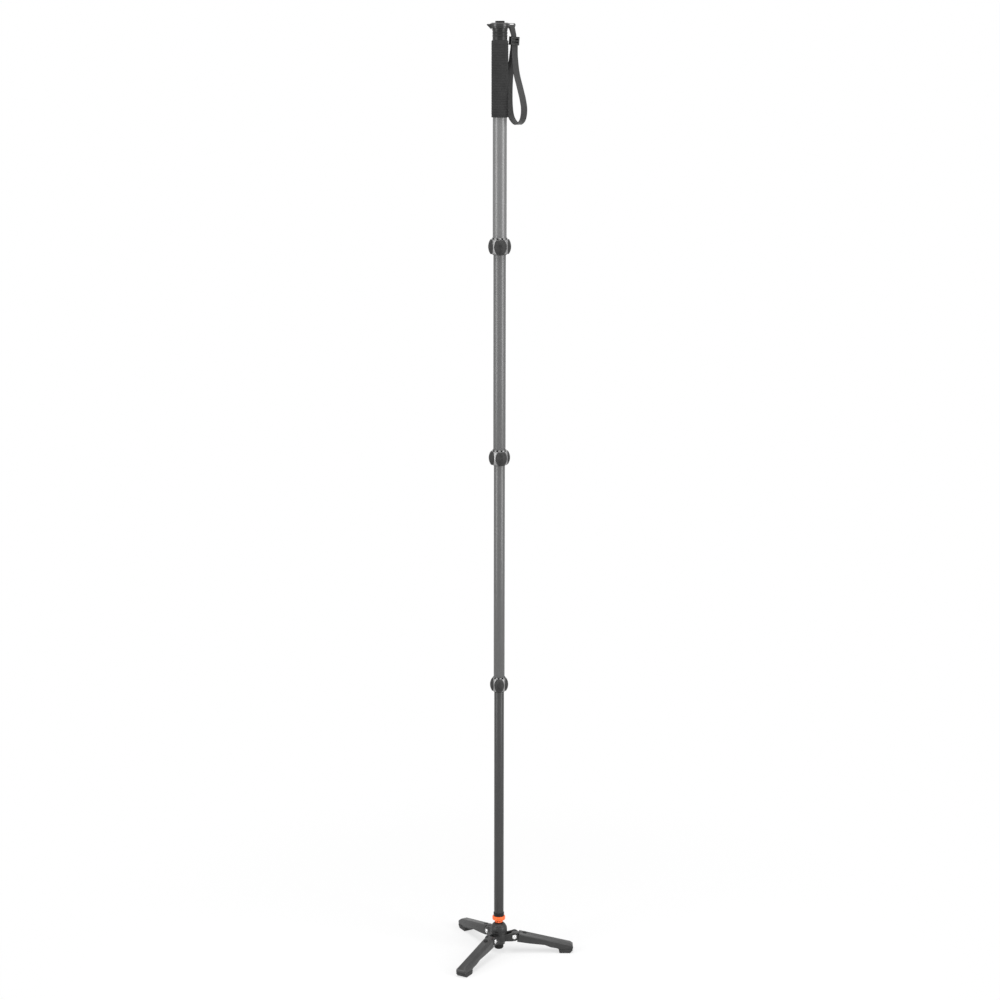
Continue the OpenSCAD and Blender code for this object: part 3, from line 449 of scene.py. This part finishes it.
domed_head = [(HEAD_R, 0), (HEAD_R, 0.7), (4.4, 1.2), (3.4, 1.5), (2.2, HEAD_H)]
drive_recess = [(1.9, 1.2), (0, 1.1)]
bright_steel = turned_metal("bright_steel", (0.72,), (0.82,), rough=(0.16, 0.26))
bolts = lathe([(0, -LEG_W), (SHANK_R - SHANK_EDGE, -LEG_W), (SHANK_R, SHANK_EDGE - LEG_W), (SHANK_R, 0)]
              + domed_head + drive_recess, steps=SMALL_STEPS)
bolts = repeated(placed(bolts, across_leg(-1)), LEG_HEADINGS[1:])
piece("pivot_bolt_steel", bolts, bright_steel, "base", "steel", "pivot_bolts")
nuts = lathe([(NUT_BORE, 0)] + domed_head + [(NUT_BORE, 1.5)], steps=SMALL_STEPS)
nuts = repeated(placed(nuts, across_leg(1)), LEG_HEADINGS[1:])
piece("pivot_nut_steel", nuts, bright_steel, "base", "steel", "pivot_nuts")

# Legs. Three cast aluminium beams with bevelled top edges, coated dark grey.
# A knuckle at the root of each swings between the hub's ears, and the end closes round them.
leg_coat = coated("grey_leg_coat", (0.012,), (0.032,), grain=1500, clouds=28, rough=(0.36, 0.46), bump=0.22,
                  specular=0.48)
for k in (1, 2, 3):
    beam = ease(solid_of(f"leg_beam_{k}"), 0.7 * MM, segments=3)
    piece(f"leg_casting_{k}", beam, leg_coat, f"leg_{k}", "leg", f"leg_beam_{k}")

# Toes. Moulded rubber blocks under the tips of the legs, with grooves across the sole.
# Each is bonded to the flat step under its leg.
LEG_REACH = 164.0
TOE_LEN, TOE_H, TOE_W = 31.0, 8.95, 24.0
TREAD_COUNT, TREAD_START, TREAD_PITCH = 6, 4.4, 3.4
TREAD_W, TREAD_H, TREAD_TAPER = 1.4, 0.9, 0.3


def slab(outline, width):
    """Upright plate from an outline of x and z in millimetres, with its width along y."""
    bm = bmesh.new()
    face = bm.faces.new([bm.verts.new((x * MM, -width / 2 * MM, z * MM)) for x, z in outline])
    grown = bmesh.ops.extrude_face_region(bm, geom=[face])["geom"]
    bmesh.ops.translate(bm, vec=(0, width * MM, 0),
                        verts=[v for v in grown if isinstance(v, bmesh.types.BMVert)])
    bmesh.ops.recalc_face_normals(bm, faces=bm.faces)
    return bm


toe_back = LEG_REACH - TOE_LEN
tread = []
for n in range(TREAD_COUNT):
    step = toe_back + TREAD_START + TREAD_PITCH * n
    tread += [(step, 0), (step + TREAD_TAPER, TREAD_H), (step + TREAD_W - TREAD_TAPER, TREAD_H),
              (step + TREAD_W, 0)]
toe_outline = [(toe_back, TOE_H), (toe_back + 1, 2), (toe_back + 3, 0), *tread, (LEG_REACH - 6, 0),
               (LEG_REACH, TOE_H - 2), (LEG_REACH - 0.5, TOE_H)]
toe_rubber = coated("toe_rubber", (0.026,), (0.044,), grain=1200, rough=(0.66, 0.8), bump=0.3, specular=0.25)
for k, heading in enumerate(LEG_HEADINGS, 1):
    toe = ease(slab(toe_outline, TOE_W), 0.4 * MM)
    placed(toe, Matrix.Rotation(heading, 4, "Z") @ Matrix.Translation((0, 0, FLOOR_Z)))
    piece(f"toe_rubber_{k}", toe, toe_rubber, f"leg_{k}", "rubber", f"toe_pad_{k}")

# Release buttons. Small turned buttons in the top of each leg, with a ring cut into the face and
# the rim rounded for the finger. A coil spring in the pocket pushes each up and gives as it is pressed.
ROOT_X, ROOT_TOP = 45.5, 39.0
LEG_FALL = math.radians(12.7712)
BUTTON_ALONG = 12.0
BUTTON_R, BUTTON_FOOT, BUTTON_TOP = 4.2, -6.6, 1.4
COIL_R, COIL_TURNS, COIL_STEPS = 2.7, 3, 24
COIL_FOOT, COIL_HEAD = -11.95, -6.65
WIRE_R, WIRE_SIDES = 0.45, 10


def coil_spring():
    """Spring wire wound about the upright axis, with both ends closed."""
    bm = bmesh.new()
    wire = bmesh.ops.create_circle(bm, segments=WIRE_SIDES, radius=WIRE_R * MM)["verts"]
    bmesh.ops.rotate(bm, verts=wire, cent=(0, 0, 0), matrix=Matrix.Rotation(math.pi / 2, 3, "X"))
    bmesh.ops.translate(bm, verts=wire, vec=(COIL_R * MM, 0, (COIL_FOOT + WIRE_R) * MM))
    steps = COIL_STEPS * COIL_TURNS
    climb = (COIL_HEAD - COIL_FOOT - 2 * WIRE_R) / steps
    bmesh.ops.spin(bm, geom=bm.verts[:] + bm.edges[:], cent=(0, 0, 0), axis=(0, 0, 1),
                   dvec=(0, 0, climb * MM), angle=2 * math.pi * COIL_TURNS, steps=steps)
    bmesh.ops.holes_fill(bm, edges=bm.edges)
    bmesh.ops.recalc_face_normals(bm, faces=bm.faces)
    return bm


button_profile = [(0, BUTTON_FOOT), (BUTTON_R, BUTTON_FOOT), (BUTTON_R, 0.8), (3.9, 1.25), (3.3, BUTTON_TOP),
                  (2.6, BUTTON_TOP), (2.4, 1.15), (2.0, 1.15), (1.8, BUTTON_TOP), (0, BUTTON_TOP)]
button_place = (
    Matrix.Translation((ROOT_X * MM, 0, ROOT_TOP * MM))
    @ Matrix.Rotation(LEG_FALL, 4, "Y")
    @ Matrix.Translation((BUTTON_ALONG * MM, 0, 0))
)
anodised_black = coated("black_anodising", (0.008,), (0.014,), grain=2200, rough=(0.3, 0.4), bump=0.06,
                        specular=0.2)
for k, heading in enumerate(LEG_HEADINGS, 1):
    place = Matrix.Rotation(heading, 4, "Z") @ button_place
    button = placed(lathe(button_profile, steps=SMALL_STEPS), place)
    piece(f"release_button_{k}", button, anodised_black, f"button_{k}", "dark_metal", f"leg_button_{k}")
    coil = placed(coil_spring(), place)
    spring = piece(f"button_coil_{k}", coil, bright_steel, f"leg_{k}", "steel", f"button_spring_{k}")
    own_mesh(spring)

# Tilt lock. An orange anodised plug with windows round it sits over the mouth of the cover, and
# the ring above it screws it down to hold the pole upright.
RING_R, RING_BORE = 14.2, 5.3
RING_SHOULDER = [(12.4, 0), (13.5, 0.5), (RING_R, 1.7)]
RING_GROOVE = 4.4


def heights(node):
    """Heights of a CAD solid's underside and top, in millimetres."""
    low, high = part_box(node)
    return low.z / MM, high.z / MM


orange_anodising = turned_metal("orange_anodising", (0.93, 0.13, 0.022), (1.0, 0.19, 0.045), lines=3000,
                                rough=(0.32, 0.42), bump=0.05, metallic=0.25)
tilt_plug = ease(solid_of("tilt_plug"), 0.2 * MM, angle=40)
piece("tilt_plug_orange", tilt_plug, orange_anodising, "tilt_plug", "orange", "tilt_plug")
z, top = heights("tilt_lock_ring")
tilt_ring = lathe(
    [(RING_BORE, z)] + [(r, z + h) for r, h in RING_SHOULDER] + groove(RING_R, z + RING_GROOVE, 0.35, 0.5)
    + [(r, top - h) for r, h in reversed(RING_SHOULDER)] + [(RING_BORE, top)]
)
tilt_ring = ease(tilt_ring, 0.2 * MM, angle=20)
piece("tilt_ring_orange", tilt_ring, orange_anodising, "tilt_ring", "orange", "tilt_lock_ring")

# Ferrule. A black turned cap pressed over the foot of the bottom tube, above the orange ring.
# A fine groove runs round it.
FERRULE_R, FERRULE_EDGE = 11.75, 0.7
FERRULE_BORE, FERRULE_FLOOR = 5.05, 1.95
SOCKET_R = 10.6
z, top = heights("end_ferrule")
ferrule = lathe([
    (FERRULE_BORE, z), (FERRULE_R - FERRULE_EDGE, z), (FERRULE_R, z + FERRULE_EDGE),
    *groove(FERRULE_R, z + 2.2, 0.3, 0.4), (FERRULE_R, top - FERRULE_EDGE), (FERRULE_R - FERRULE_EDGE, top),
    (SOCKET_R, top), (SOCKET_R, z + FERRULE_FLOOR), (FERRULE_BORE, z + FERRULE_FLOOR),
])
ferrule = ease(ferrule, 0.15 * MM, angle=30)
piece("tube_ferrule", ferrule, anodised_black, "pole_4", "dark_metal", "end_ferrule")

# Pole tubes. Four drawn aluminium tubes, satin anodised grey, each running inside the one above.
# Faint lines from the drawing die run along them.
TUBE_R = [14.5, 13.05, 11.8, 10.55]
TUBE_WALL = [1.1, 0.9, 0.9, 1.0]
# The tones darken from the top tube down to the bottom one.
TUBE_TONE = [(0.17, 0.185), (0.125, 0.138), (0.118, 0.13), (0.058, 0.066)]


def drawn_tube(name, dark, light):
    """Material of a drawn tube: an anodised coat whose tone and relief take streaks along the tube."""
    material = coated(name, (dark,), (light,), grain=1800, clouds=14, rough=(0.34, 0.38), bump=0.01,
                      depth=TOOL_MARK, metallic=0.35, specular=0.3)
    tree = material.node_tree
    shader, skin, relief = (tree.nodes[label] for label in ("Principled BSDF", "Skin", "Relief"))
    shader.inputs["Specular Tint"].default_value = plain(0.45)
    where = tree.nodes.new("ShaderNodeTexCoord")
    stretch = tree.nodes.new("ShaderNodeMapping")
    stretch.inputs["Scale"].default_value = (1, 1, 0.012)
    streaks = tree.nodes.new("ShaderNodeTexNoise")
    streaks.inputs["Scale"].default_value = 1400
    streaks.inputs["Detail"].default_value = 3
    tree.links.new(where.outputs["Object"], stretch.inputs["Vector"])
    tree.links.new(stretch.outputs["Vector"], streaks.inputs["Vector"])
    tone = tree.nodes.new("ShaderNodeMix")
    tone.data_type = "RGBA"
    tone.blend_type = "OVERLAY"
    tone.inputs["Factor"].default_value = 0.05
    tree.links.new(skin.outputs["Color"], tone.inputs["A"])
    tree.links.new(streaks.outputs["Color"], tone.inputs["B"])
    tree.links.new(tone.outputs["Result"], shader.inputs["Base Color"])
    tree.links.new(streaks.outputs["Fac"], relief.inputs["Height"])
    return material


for k in (1, 2, 3, 4):
    z, top = heights(f"tube_{k}")
    outer = TUBE_R[k - 1]
    bore = outer - TUBE_WALL[k - 1]
    tube = ease(lathe([(bore, z), (outer, z), (outer, top), (bore, top)]), 0.2 * MM)
    satin = drawn_tube(f"satin_tube_{k}", *TUBE_TONE[k - 1])
    piece(f"pole_tube_{k}", tube, satin, f"pole_{k}", "tube", f"tube_{k}")

# Twist locks. On each outer tube a threaded metal sleeve with a notched rim, and round it a
# barrel-shaped collar that carries four bulging rubber pads and a wiper seal under its floor.
LOCK_R = [24.0, 23.0, 19.7]
LOCK_TURN = [-84, -75, -89]
SLEEVE_WALL = 1.2
NOTCH_IN, NOTCH_OUT = 0.3, 0.6
COLLAR_FALL, COLLAR_RIM, COLLAR_FLOOR = 2.6, 0.9, 4
BARREL_STEPS = 8
PAD_COUNT = 4
PAD_SPAN = math.radians(82.8)
PAD_RISE, PAD_EDGE, PAD_BORDER, PAD_ROOT = 3.6, 1.8, 0.3, 1.5
SEAL_SEAT, SEAL_NECK, SEAL_LIP, SEAL_EDGE = 1.55, 1.5, 2.2, 0.5
FREE_GAP, SEAT_GAP = 0.3, 0.05
satin_metal = turned_metal("satin_lock_metal", (0.2,), (0.26,), lines=2200, rough=(0.36, 0.46), metallic=0.5)
# Near-black material for the sleeves' notches: painted shade where the recesses fall dark, not a colour of the
# metal.
painted_notch_shade = coated("painted_notch_shade", (0.008,), (0.014,), rough=(0.7, 0.8), specular=0.1)
pad_rubber = coated("pad_rubber", (0.01,), (0.046,), grain=700, clouds=110, rough=(0.5, 0.72), bump=0.5,
                    depth=0.2 * MM, specular=0.25)


def barrel_side(belly, half, sag):
    """Points of radius and height up an arc that falls by the sag at both ends."""
    curve = (half ** 2 + sag ** 2) / (2 * sag)
    edge = math.asin(half / curve)
    turns = [edge * t / BARREL_STEPS for t in range(-BARREL_STEPS, BARREL_STEPS + 1)]
    return [(belly - curve * (1 - math.cos(a)), curve * math.sin(a)) for a in turns]


def lock_pad(lock_r, collar_r, half, sag):
    """One rubber pad: a barrel standing in the collar, cut off behind the collar's face."""
    chord = collar_r * math.cos(PAD_SPAN / 2)
    middle = (lock_r ** 2 - collar_r ** 2) / (2 * (lock_r - chord))
    bm = lathe([(0, -half)] + barrel_side(lock_r - middle, half, sag) + [(0, half)], steps=56)
    placed(bm, Matrix.Translation((middle * MM, 0, 0)))
    cut = bmesh.ops.bisect_plane(bm, geom=bm.verts[:] + bm.edges[:] + bm.faces[:], clear_inner=True,
                                 plane_co=((chord - PAD_ROOT) * MM, 0, 0), plane_no=(1, 0, 0))
    bmesh.ops.edgeloop_fill(bm, edges=[e for e in cut["geom_cut"] if isinstance(e, bmesh.types.BMEdge)])
    bmesh.ops.recalc_face_normals(bm, faces=bm.faces)
    return ease(bm, 0.5 * MM)


for k in (1, 2, 3):
    lock_r, tube_r, inner = LOCK_R[k - 1], TUBE_R[k - 1], TUBE_R[k]
    collar_r = lock_r - PAD_RISE
    sleeve_r = tube_r + SLEEVE_WALL
    bore, seat = sleeve_r + FREE_GAP, inner + SEAL_SEAT
    sag = min(COLLAR_FALL, collar_r - sleeve_r - COLLAR_RIM)
    z, top = heights(f"lock_collar_{k}")
    middle, half = (z + top) / 2, (top - z) / 2
    collar = lathe(
        [(seat, z)] + [(r, middle + h) for r, h in barrel_side(collar_r, half, sag)]
        + [(bore, top), (bore, z + COLLAR_FLOOR), (seat, z + COLLAR_FLOOR)]
    )
    collar = ease(collar, 0.2 * MM, angle=40)
    piece(f"lock_collar_metal_{k}", collar, satin_metal, f"lock_{k}", "lock_metal", f"lock_collar_{k}")

    pads = lock_pad(lock_r, collar_r, half - PAD_BORDER, PAD_RISE + sag - PAD_EDGE)
    turn = Matrix.Rotation(math.radians(LOCK_TURN[k - 1]), 4, "Z")
    placed(pads, Matrix.Translation((0, 0, middle * MM)) @ turn)
    repeated(pads, [2 * math.pi * n / PAD_COUNT for n in range(1, PAD_COUNT)])
    piece(f"lock_pad_rubber_{k}", pads, pad_rubber, f"lock_{k}", "rubber", f"lock_pads_{k}")

    foot, head = heights(f"dust_seal_{k}")
    seal = lathe([
        (inner + FREE_GAP, foot), (inner + SEAL_LIP - SEAL_EDGE, foot), (inner + SEAL_LIP, foot + SEAL_EDGE),
        (inner + SEAL_LIP, z - SEAT_GAP), (inner + SEAL_NECK, z - SEAT_GAP), (inner + SEAL_NECK, head),
        (inner + FREE_GAP, head),
    ])
    seal = ease(seal, 0.12 * MM, angle=40)
    piece(f"wiper_seal_{k}", seal, black_rubber, f"lock_{k}", "rubber", f"dust_seal_{k}")

    sleeve = ease(solid_of(f"lock_sleeve_{k}"), 0.12 * MM, segments=1, angle=40)
    # The floors and cheeks of the rim's notches take the near-black material as painted shade in the recesses.
    for f in sleeve.faces:
        spot = f.calc_center_median()
        out = Vector((spot.x, spot.y)).length / MM
        in_notch = tube_r + NOTCH_IN < out < sleeve_r + NOTCH_OUT
        if spot.z / MM > top and abs(f.normal.z) < 0.5 and in_notch:
            f.material_index = 1
    sleeve = piece(f"lock_sleeve_metal_{k}", sleeve, satin_metal, f"pole_{k}", "lock_metal", f"lock_sleeve_{k}")
    sleeve.data.materials.append(painted_notch_shade)

# Grip. A sleeve of dense black rubber with fine rounded ribs, slid onto the top tube.
# Its upper end is bevelled towards the neck.
GRIP_R, GRIP_BORE, GRIP_EDGE, GRIP_BEVEL = 17.4, 14.55, 1, 2.5
RIB_COUNT, RIB_PITCH, RIB_DEPTH, RIB_ROUND = 28, 5.2, 0.45, 0.18
z, grip_top = heights("grip")
first_rib = z + (grip_top - z - RIB_COUNT * RIB_PITCH) / 2
rib = [(GRIP_R - RIB_DEPTH, 0), (GRIP_R - RIB_ROUND, 0.35), (GRIP_R, 1.1), (GRIP_R, RIB_PITCH - 1.5),
       (GRIP_R - RIB_ROUND, RIB_PITCH - 0.75), (GRIP_R - RIB_DEPTH, RIB_PITCH - 0.4)]
ribs = [(r, first_rib + n * RIB_PITCH + h) for n in range(RIB_COUNT) for r, h in rib]
grip = lathe([(GRIP_BORE, z), (GRIP_R - GRIP_EDGE, z), (GRIP_R, z + GRIP_EDGE)] + ribs
             + [(GRIP_R, grip_top - GRIP_BEVEL), (GRIP_R - GRIP_BEVEL, grip_top), (GRIP_BORE, grip_top)])
grip_rubber = coated("grip_rubber", (0.026,), (0.042,), grain=1500, clouds=60, rough=(0.78, 0.9), bump=0.5,
                     depth=0.15 * MM, specular=0.12)
piece("ribbed_grip", grip, grip_rubber, "pole_1", "grip", "grip", sharp=60)

# Neck. A black turned collar between grip and platform, bonded into the top tube.
# Three raised rings run round it, and a spigot on top carries the platform.
NECK_R, NECK_H, NECK_DIP = 15.7, 23, 0.6
NECK_RING = [(NECK_DIP, -1.4), (0.75, -0.7), (0.75, 0.7), (0.2, 1.1), (0, 1.5), (0, 2.6), (0.3, 3.1)]
PLUG_R, PLUG_EDGE = 13.35, 1
SPIGOT_R, SPIGOT_H = 8, 5
plug_z, spigot_top = heights("neck_collar")
neck_z = grip_top + SEAT_GAP
neck_top = spigot_top - SPIGOT_H
rings = [(NECK_R - dip, grip_top + n * NECK_H / 4 + h) for n in (1, 2, 3) for dip, h in NECK_RING]
neck = lathe(
    [(0, plug_z), (PLUG_R - PLUG_EDGE, plug_z), (PLUG_R, plug_z + PLUG_EDGE), (PLUG_R, neck_z),
     (NECK_R - NECK_DIP, neck_z)] + rings[:-2]
    + [(NECK_R, neck_top - SEAT_GAP), (SPIGOT_R, neck_top - SEAT_GAP), (SPIGOT_R, spigot_top), (0, spigot_top)]
)
gloss_black = coated("gloss_black_anodising", (0.008,), (0.014,), grain=2400, rough=(0.34, 0.44), bump=0.04,
                     specular=0.3)
piece("neck_rings", neck, gloss_black, "pole_1", "dark_metal", "neck_collar")

# Platform. A turned and milled aluminium disc with a pointed lug on one side and an upright
# strap lug on the other, anodised dark grey.
plate_metal = turned_metal("dark_platform", (0.02,), (0.034,), lines=2600, rough=(0.2, 0.3), metallic=0.2,
                           specular=0.45)
platform = ease(solid_of("top_plate", flat=0.05), 0.4 * MM)
piece("camera_platform", platform, plate_metal, "pole_1", "plate", "top_plate")

# Camera rest and thread. A rubber ring on the platform with two shallow grooves, and in its middle
# a steel bush tapped for the camera screw.
REST_R, REST_BORE, REST_EDGE = 9.5, 4.86, 0.6
REST_GROOVE_R, REST_GROOVE_DEPTH = (8.2, 6.5), 0.35
BUSH_R, BUSH_EDGE, BORE_R = 4.76, 0.3, 3.2
THREAD_PITCH, THREAD_DEPTH, THREAD_END = 1.27, 0.5, 0.6
z, top = heights("platform_pad")
groove_z = top - REST_GROOVE_DEPTH
rest_grooves = []
for r in REST_GROOVE_R:
    rest_grooves += [(r, top), (r - 0.2, groove_z), (r - 0.6, groove_z), (r - 0.8, top)]
rest = lathe([(REST_BORE, z), (REST_R, z), (REST_R, top - REST_EDGE), (REST_R - REST_EDGE, top)]
             + rest_grooves + [(REST_BORE, top)])
rest = ease(rest, 0.1 * MM, angle=30)
piece("camera_rest_rubber", rest, black_rubber, "pole_1", "rubber", "platform_pad")
z, top = heights("thread_bush")
thread = []
for n in range(int((top - z - 2 * THREAD_END) / THREAD_PITCH)):
    step = z + THREAD_END + n * THREAD_PITCH
    thread += [(BORE_R + THREAD_DEPTH, step), (BORE_R, step + THREAD_PITCH / 2)]
bush = lathe([(BUSH_R, z), (BUSH_R, top - BUSH_EDGE), (BUSH_R - BUSH_EDGE, top), (BORE_R + THREAD_END, top),
              (BORE_R, top - 0.5)] + thread[::-1] + [(BORE_R, z)], steps=64)
piece("thread_bush_steel", bush, bright_steel, "pole_1", "steel", "thread_bush", sharp=25)

# Wrist strap. Flat woven nylon: a tether folded round the lug's bar, a moulded slide buckle and a
# hand loop whose two ends lie in the buckle.
STRAP_HEADING = math.radians(33)
BAR_REACH, BAR_Z = 28.2, neck_top + 4.5
WEB_W, WEB_T = 15.0, 2.0
STRAND_OUT, STRAND_IN = 11.8, 8.2
LOOP_ROUTE = [
    (STRAND_OUT, -33), (STRAND_OUT, -42), (12.5, -62), (19.2, -94), (32.2, -123), (43.2, -148),
    (47.7, -168), (42.2, -188), (25.2, -197.5), (7.2, -190), (-2.9, -176), (-6.9, -150), (-5.9, -110),
    (0.2, -75), (STRAND_IN, -42), (STRAND_IN, -33),
]
TETHER_W, TETHER_T = 12.0, 1.2
TETHER_LEAN, TETHER_BEND, TETHER_END = 8.4, -18, -26
FOLD_R = 1.9 + TETHER_T / 2
WEAVE_UNIT = 10
strap_place = (
    Matrix.Rotation(STRAP_HEADING, 4, "Z")
    @ Matrix.Translation((BAR_REACH * MM, 0, BAR_Z * MM))
    @ Matrix.Rotation(-math.pi / 2, 4, "Z")
)


def smooth_line(points, steps):
    """Points of a smooth curve through the given ones."""
    line = []
    for i in range(len(points) - 1):
        a, b = Vector(points[max(i - 1, 0)]), Vector(points[i])
        c, d = Vector(points[i + 1]), Vector(points[min(i + 2, len(points) - 1)])
        for n in range(steps):
            t = n / steps
            line.append(0.5 * (2 * b + (c - a) * t + (2 * a - 5 * b + 4 * c - d) * t * t
                               + (3 * b - a - 3 * c + d) * t ** 3))
    return line + [Vector(points[-1])]


def ribbon(line, width, thickness):
    """Flat webbing with thick woven edges, drawn along a line of sideways and up in millimetres."""
    half, t = width / 2, thickness / 2
    edge = [(half, 0.55 * t), (half - 0.35, t), (half - 1.3, 0.86 * t)]
    section = ([(-w, -s) for w, s in edge] + [(w, -s) for w, s in reversed(edge)]
               + edge + [(-w, s) for w, s in reversed(edge)])
    bm = bmesh.new()
    spots = bm.verts.layers.float_vector.new("spot")
    length = 0.0
    ring = None
    for i, here in enumerate(line):
        along = (line[min(i + 1, len(line) - 1)] - line[max(i - 1, 0)]).normalized()
        out = Vector((along.y, -along.x))
        length += (here - line[i - 1]).length if i else 0
        if ring is None:
            verts = [bm.verts.new() for _ in section]
            edges = [bm.edges.new(pair) for pair in zip(verts, verts[1:] + verts[:1])]
            bm.faces.new(verts)
        else:
            grown = bmesh.ops.extrude_edge_only(bm, edges=edges)["geom"]
            fresh = {e for e in grown if isinstance(e, bmesh.types.BMVert)}
            verts = [next(e.other_vert(v) for e in v.link_edges if e.other_vert(v) in fresh) for v in ring]
            edges = [bm.edges.get(pair) for pair in zip(verts, verts[1:] + verts[:1])]
        for v, (w, s) in zip(verts, section):
            v.co = ((here.x + out.x * s) * MM, w * MM, (here.y + out.y * s) * MM)
            v[spots] = (w + half, length, s)
        ring = verts
    bm.faces.new(ring)
    uv = bm.loops.layers.uv.new("weave")
    for f in bm.faces:
        for corner in f.loops:
            across, along, _ = corner.vert[spots]
            corner[uv].uv = (across / WEAVE_UNIT, along / WEAVE_UNIT)
    bmesh.ops.recalc_face_normals(bm, faces=bm.faces)
    return placed(bm, strap_place)


def webbing(name, dark, light):
    """Material of woven nylon: rows of short slanting threads that follow the strap."""
    material = bpy.data.materials.new(name)
    material.use_nodes = True
    tree = material.node_tree
    shader = tree.nodes["Principled BSDF"]
    shader.inputs["Roughness"].default_value = 0.75
    shader.inputs["Specular IOR Level"].default_value = 0.3
    shader.inputs["Sheen Weight"].default_value = 0.25
    shader.inputs["Sheen Roughness"].default_value = 0.5
    where = tree.nodes.new("ShaderNodeUVMap")
    where.uv_map = "weave"
    threads = tree.nodes.new("ShaderNodeMath")
    threads.operation = "MULTIPLY"
    for slot, (way, scale, distortion) in enumerate((("X", 4.2, 0.4), ("DIAGONAL", 5.5, 0.3))):
        wave = tree.nodes.new("ShaderNodeTexWave")
        wave.bands_direction = way
        wave.inputs["Scale"].default_value = scale
        wave.inputs["Distortion"].default_value = distortion
        tree.links.new(where.outputs["UV"], wave.inputs["Vector"])
        tree.links.new(wave.outputs["Fac"], threads.inputs[slot])
    tone = tree.nodes.new("ShaderNodeMix")
    tone.data_type = "RGBA"
    tone.inputs["A"].default_value = plain(dark)
    tone.inputs["B"].default_value = plain(light)
    tree.links.new(threads.outputs[0], tone.inputs["Factor"])
    relief = tree.nodes.new("ShaderNodeBump")
    relief.inputs["Strength"].default_value = 0.5
    relief.inputs["Distance"].default_value = 0.2 * MM
    tree.links.new(threads.outputs[0], relief.inputs["Height"])
    tree.links.new(tone.outputs["Result"], shader.inputs["Base Color"])
    tree.links.new(relief.outputs["Normal"], shader.inputs["Normal"])
    return material


nylon = webbing("woven_nylon", 0.018, 0.055)
loop = ribbon(smooth_line(LOOP_ROUTE, 10), WEB_W, WEB_T)
piece("hand_loop_webbing", loop, nylon, "strap", "webbing", "strap_loop", sharp=50)
fold_turns = [math.radians(a) for a in range(-10, 191, 20)]
near_side, far_side = TETHER_LEAN + TETHER_T / 2, TETHER_LEAN - TETHER_T / 2
tether_route = [(near_side, TETHER_END), (near_side, TETHER_BEND)]
tether_route += [(FOLD_R * math.cos(a), FOLD_R * math.sin(a)) for a in fold_turns]
tether_route += [(far_side, TETHER_BEND), (far_side, TETHER_END)]
tether = ribbon([Vector(p) for p in tether_route], TETHER_W, TETHER_T)
piece("tether_webbing", tether, nylon, "strap", "webbing", "strap_tether", sharp=50)
buckle_plastic = coated("buckle_plastic", (0.01,), (0.018,), grain=1400, rough=(0.3, 0.4), bump=0.15,
                        specular=0.2)
buckle = ease(solid_of("strap_buckle"), 0.45 * MM)
piece("slide_buckle", buckle, buckle_plastic, "strap", "plastic", "strap_buckle")

# Hidden works. The ball, its seat and spring, the plug in the bottom tube, guide shims, collets,
# friction washers and stud keep their solids and take a metal or moulded finish.
grey_metal = turned_metal("grey_inner_metal", (0.45,), (0.55,))
moulded = coated("moulded_inner_plastic", (0.03,), (0.045,))
for finish, nodes in (
    (grey_metal, ("ball_stem", "end_plug")),
    (bright_steel, ("seat_spring", "foot_stud")),
    (moulded, ("ball_seat", "pivot_washers", "guide_shims_2", "guide_shims_3", "guide_shims_4", "collet_1",
               "collet_2", "collet_3")),
):
    for node in nodes:
        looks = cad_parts[node].data.materials
        looks.clear()
        looks.append(finish)
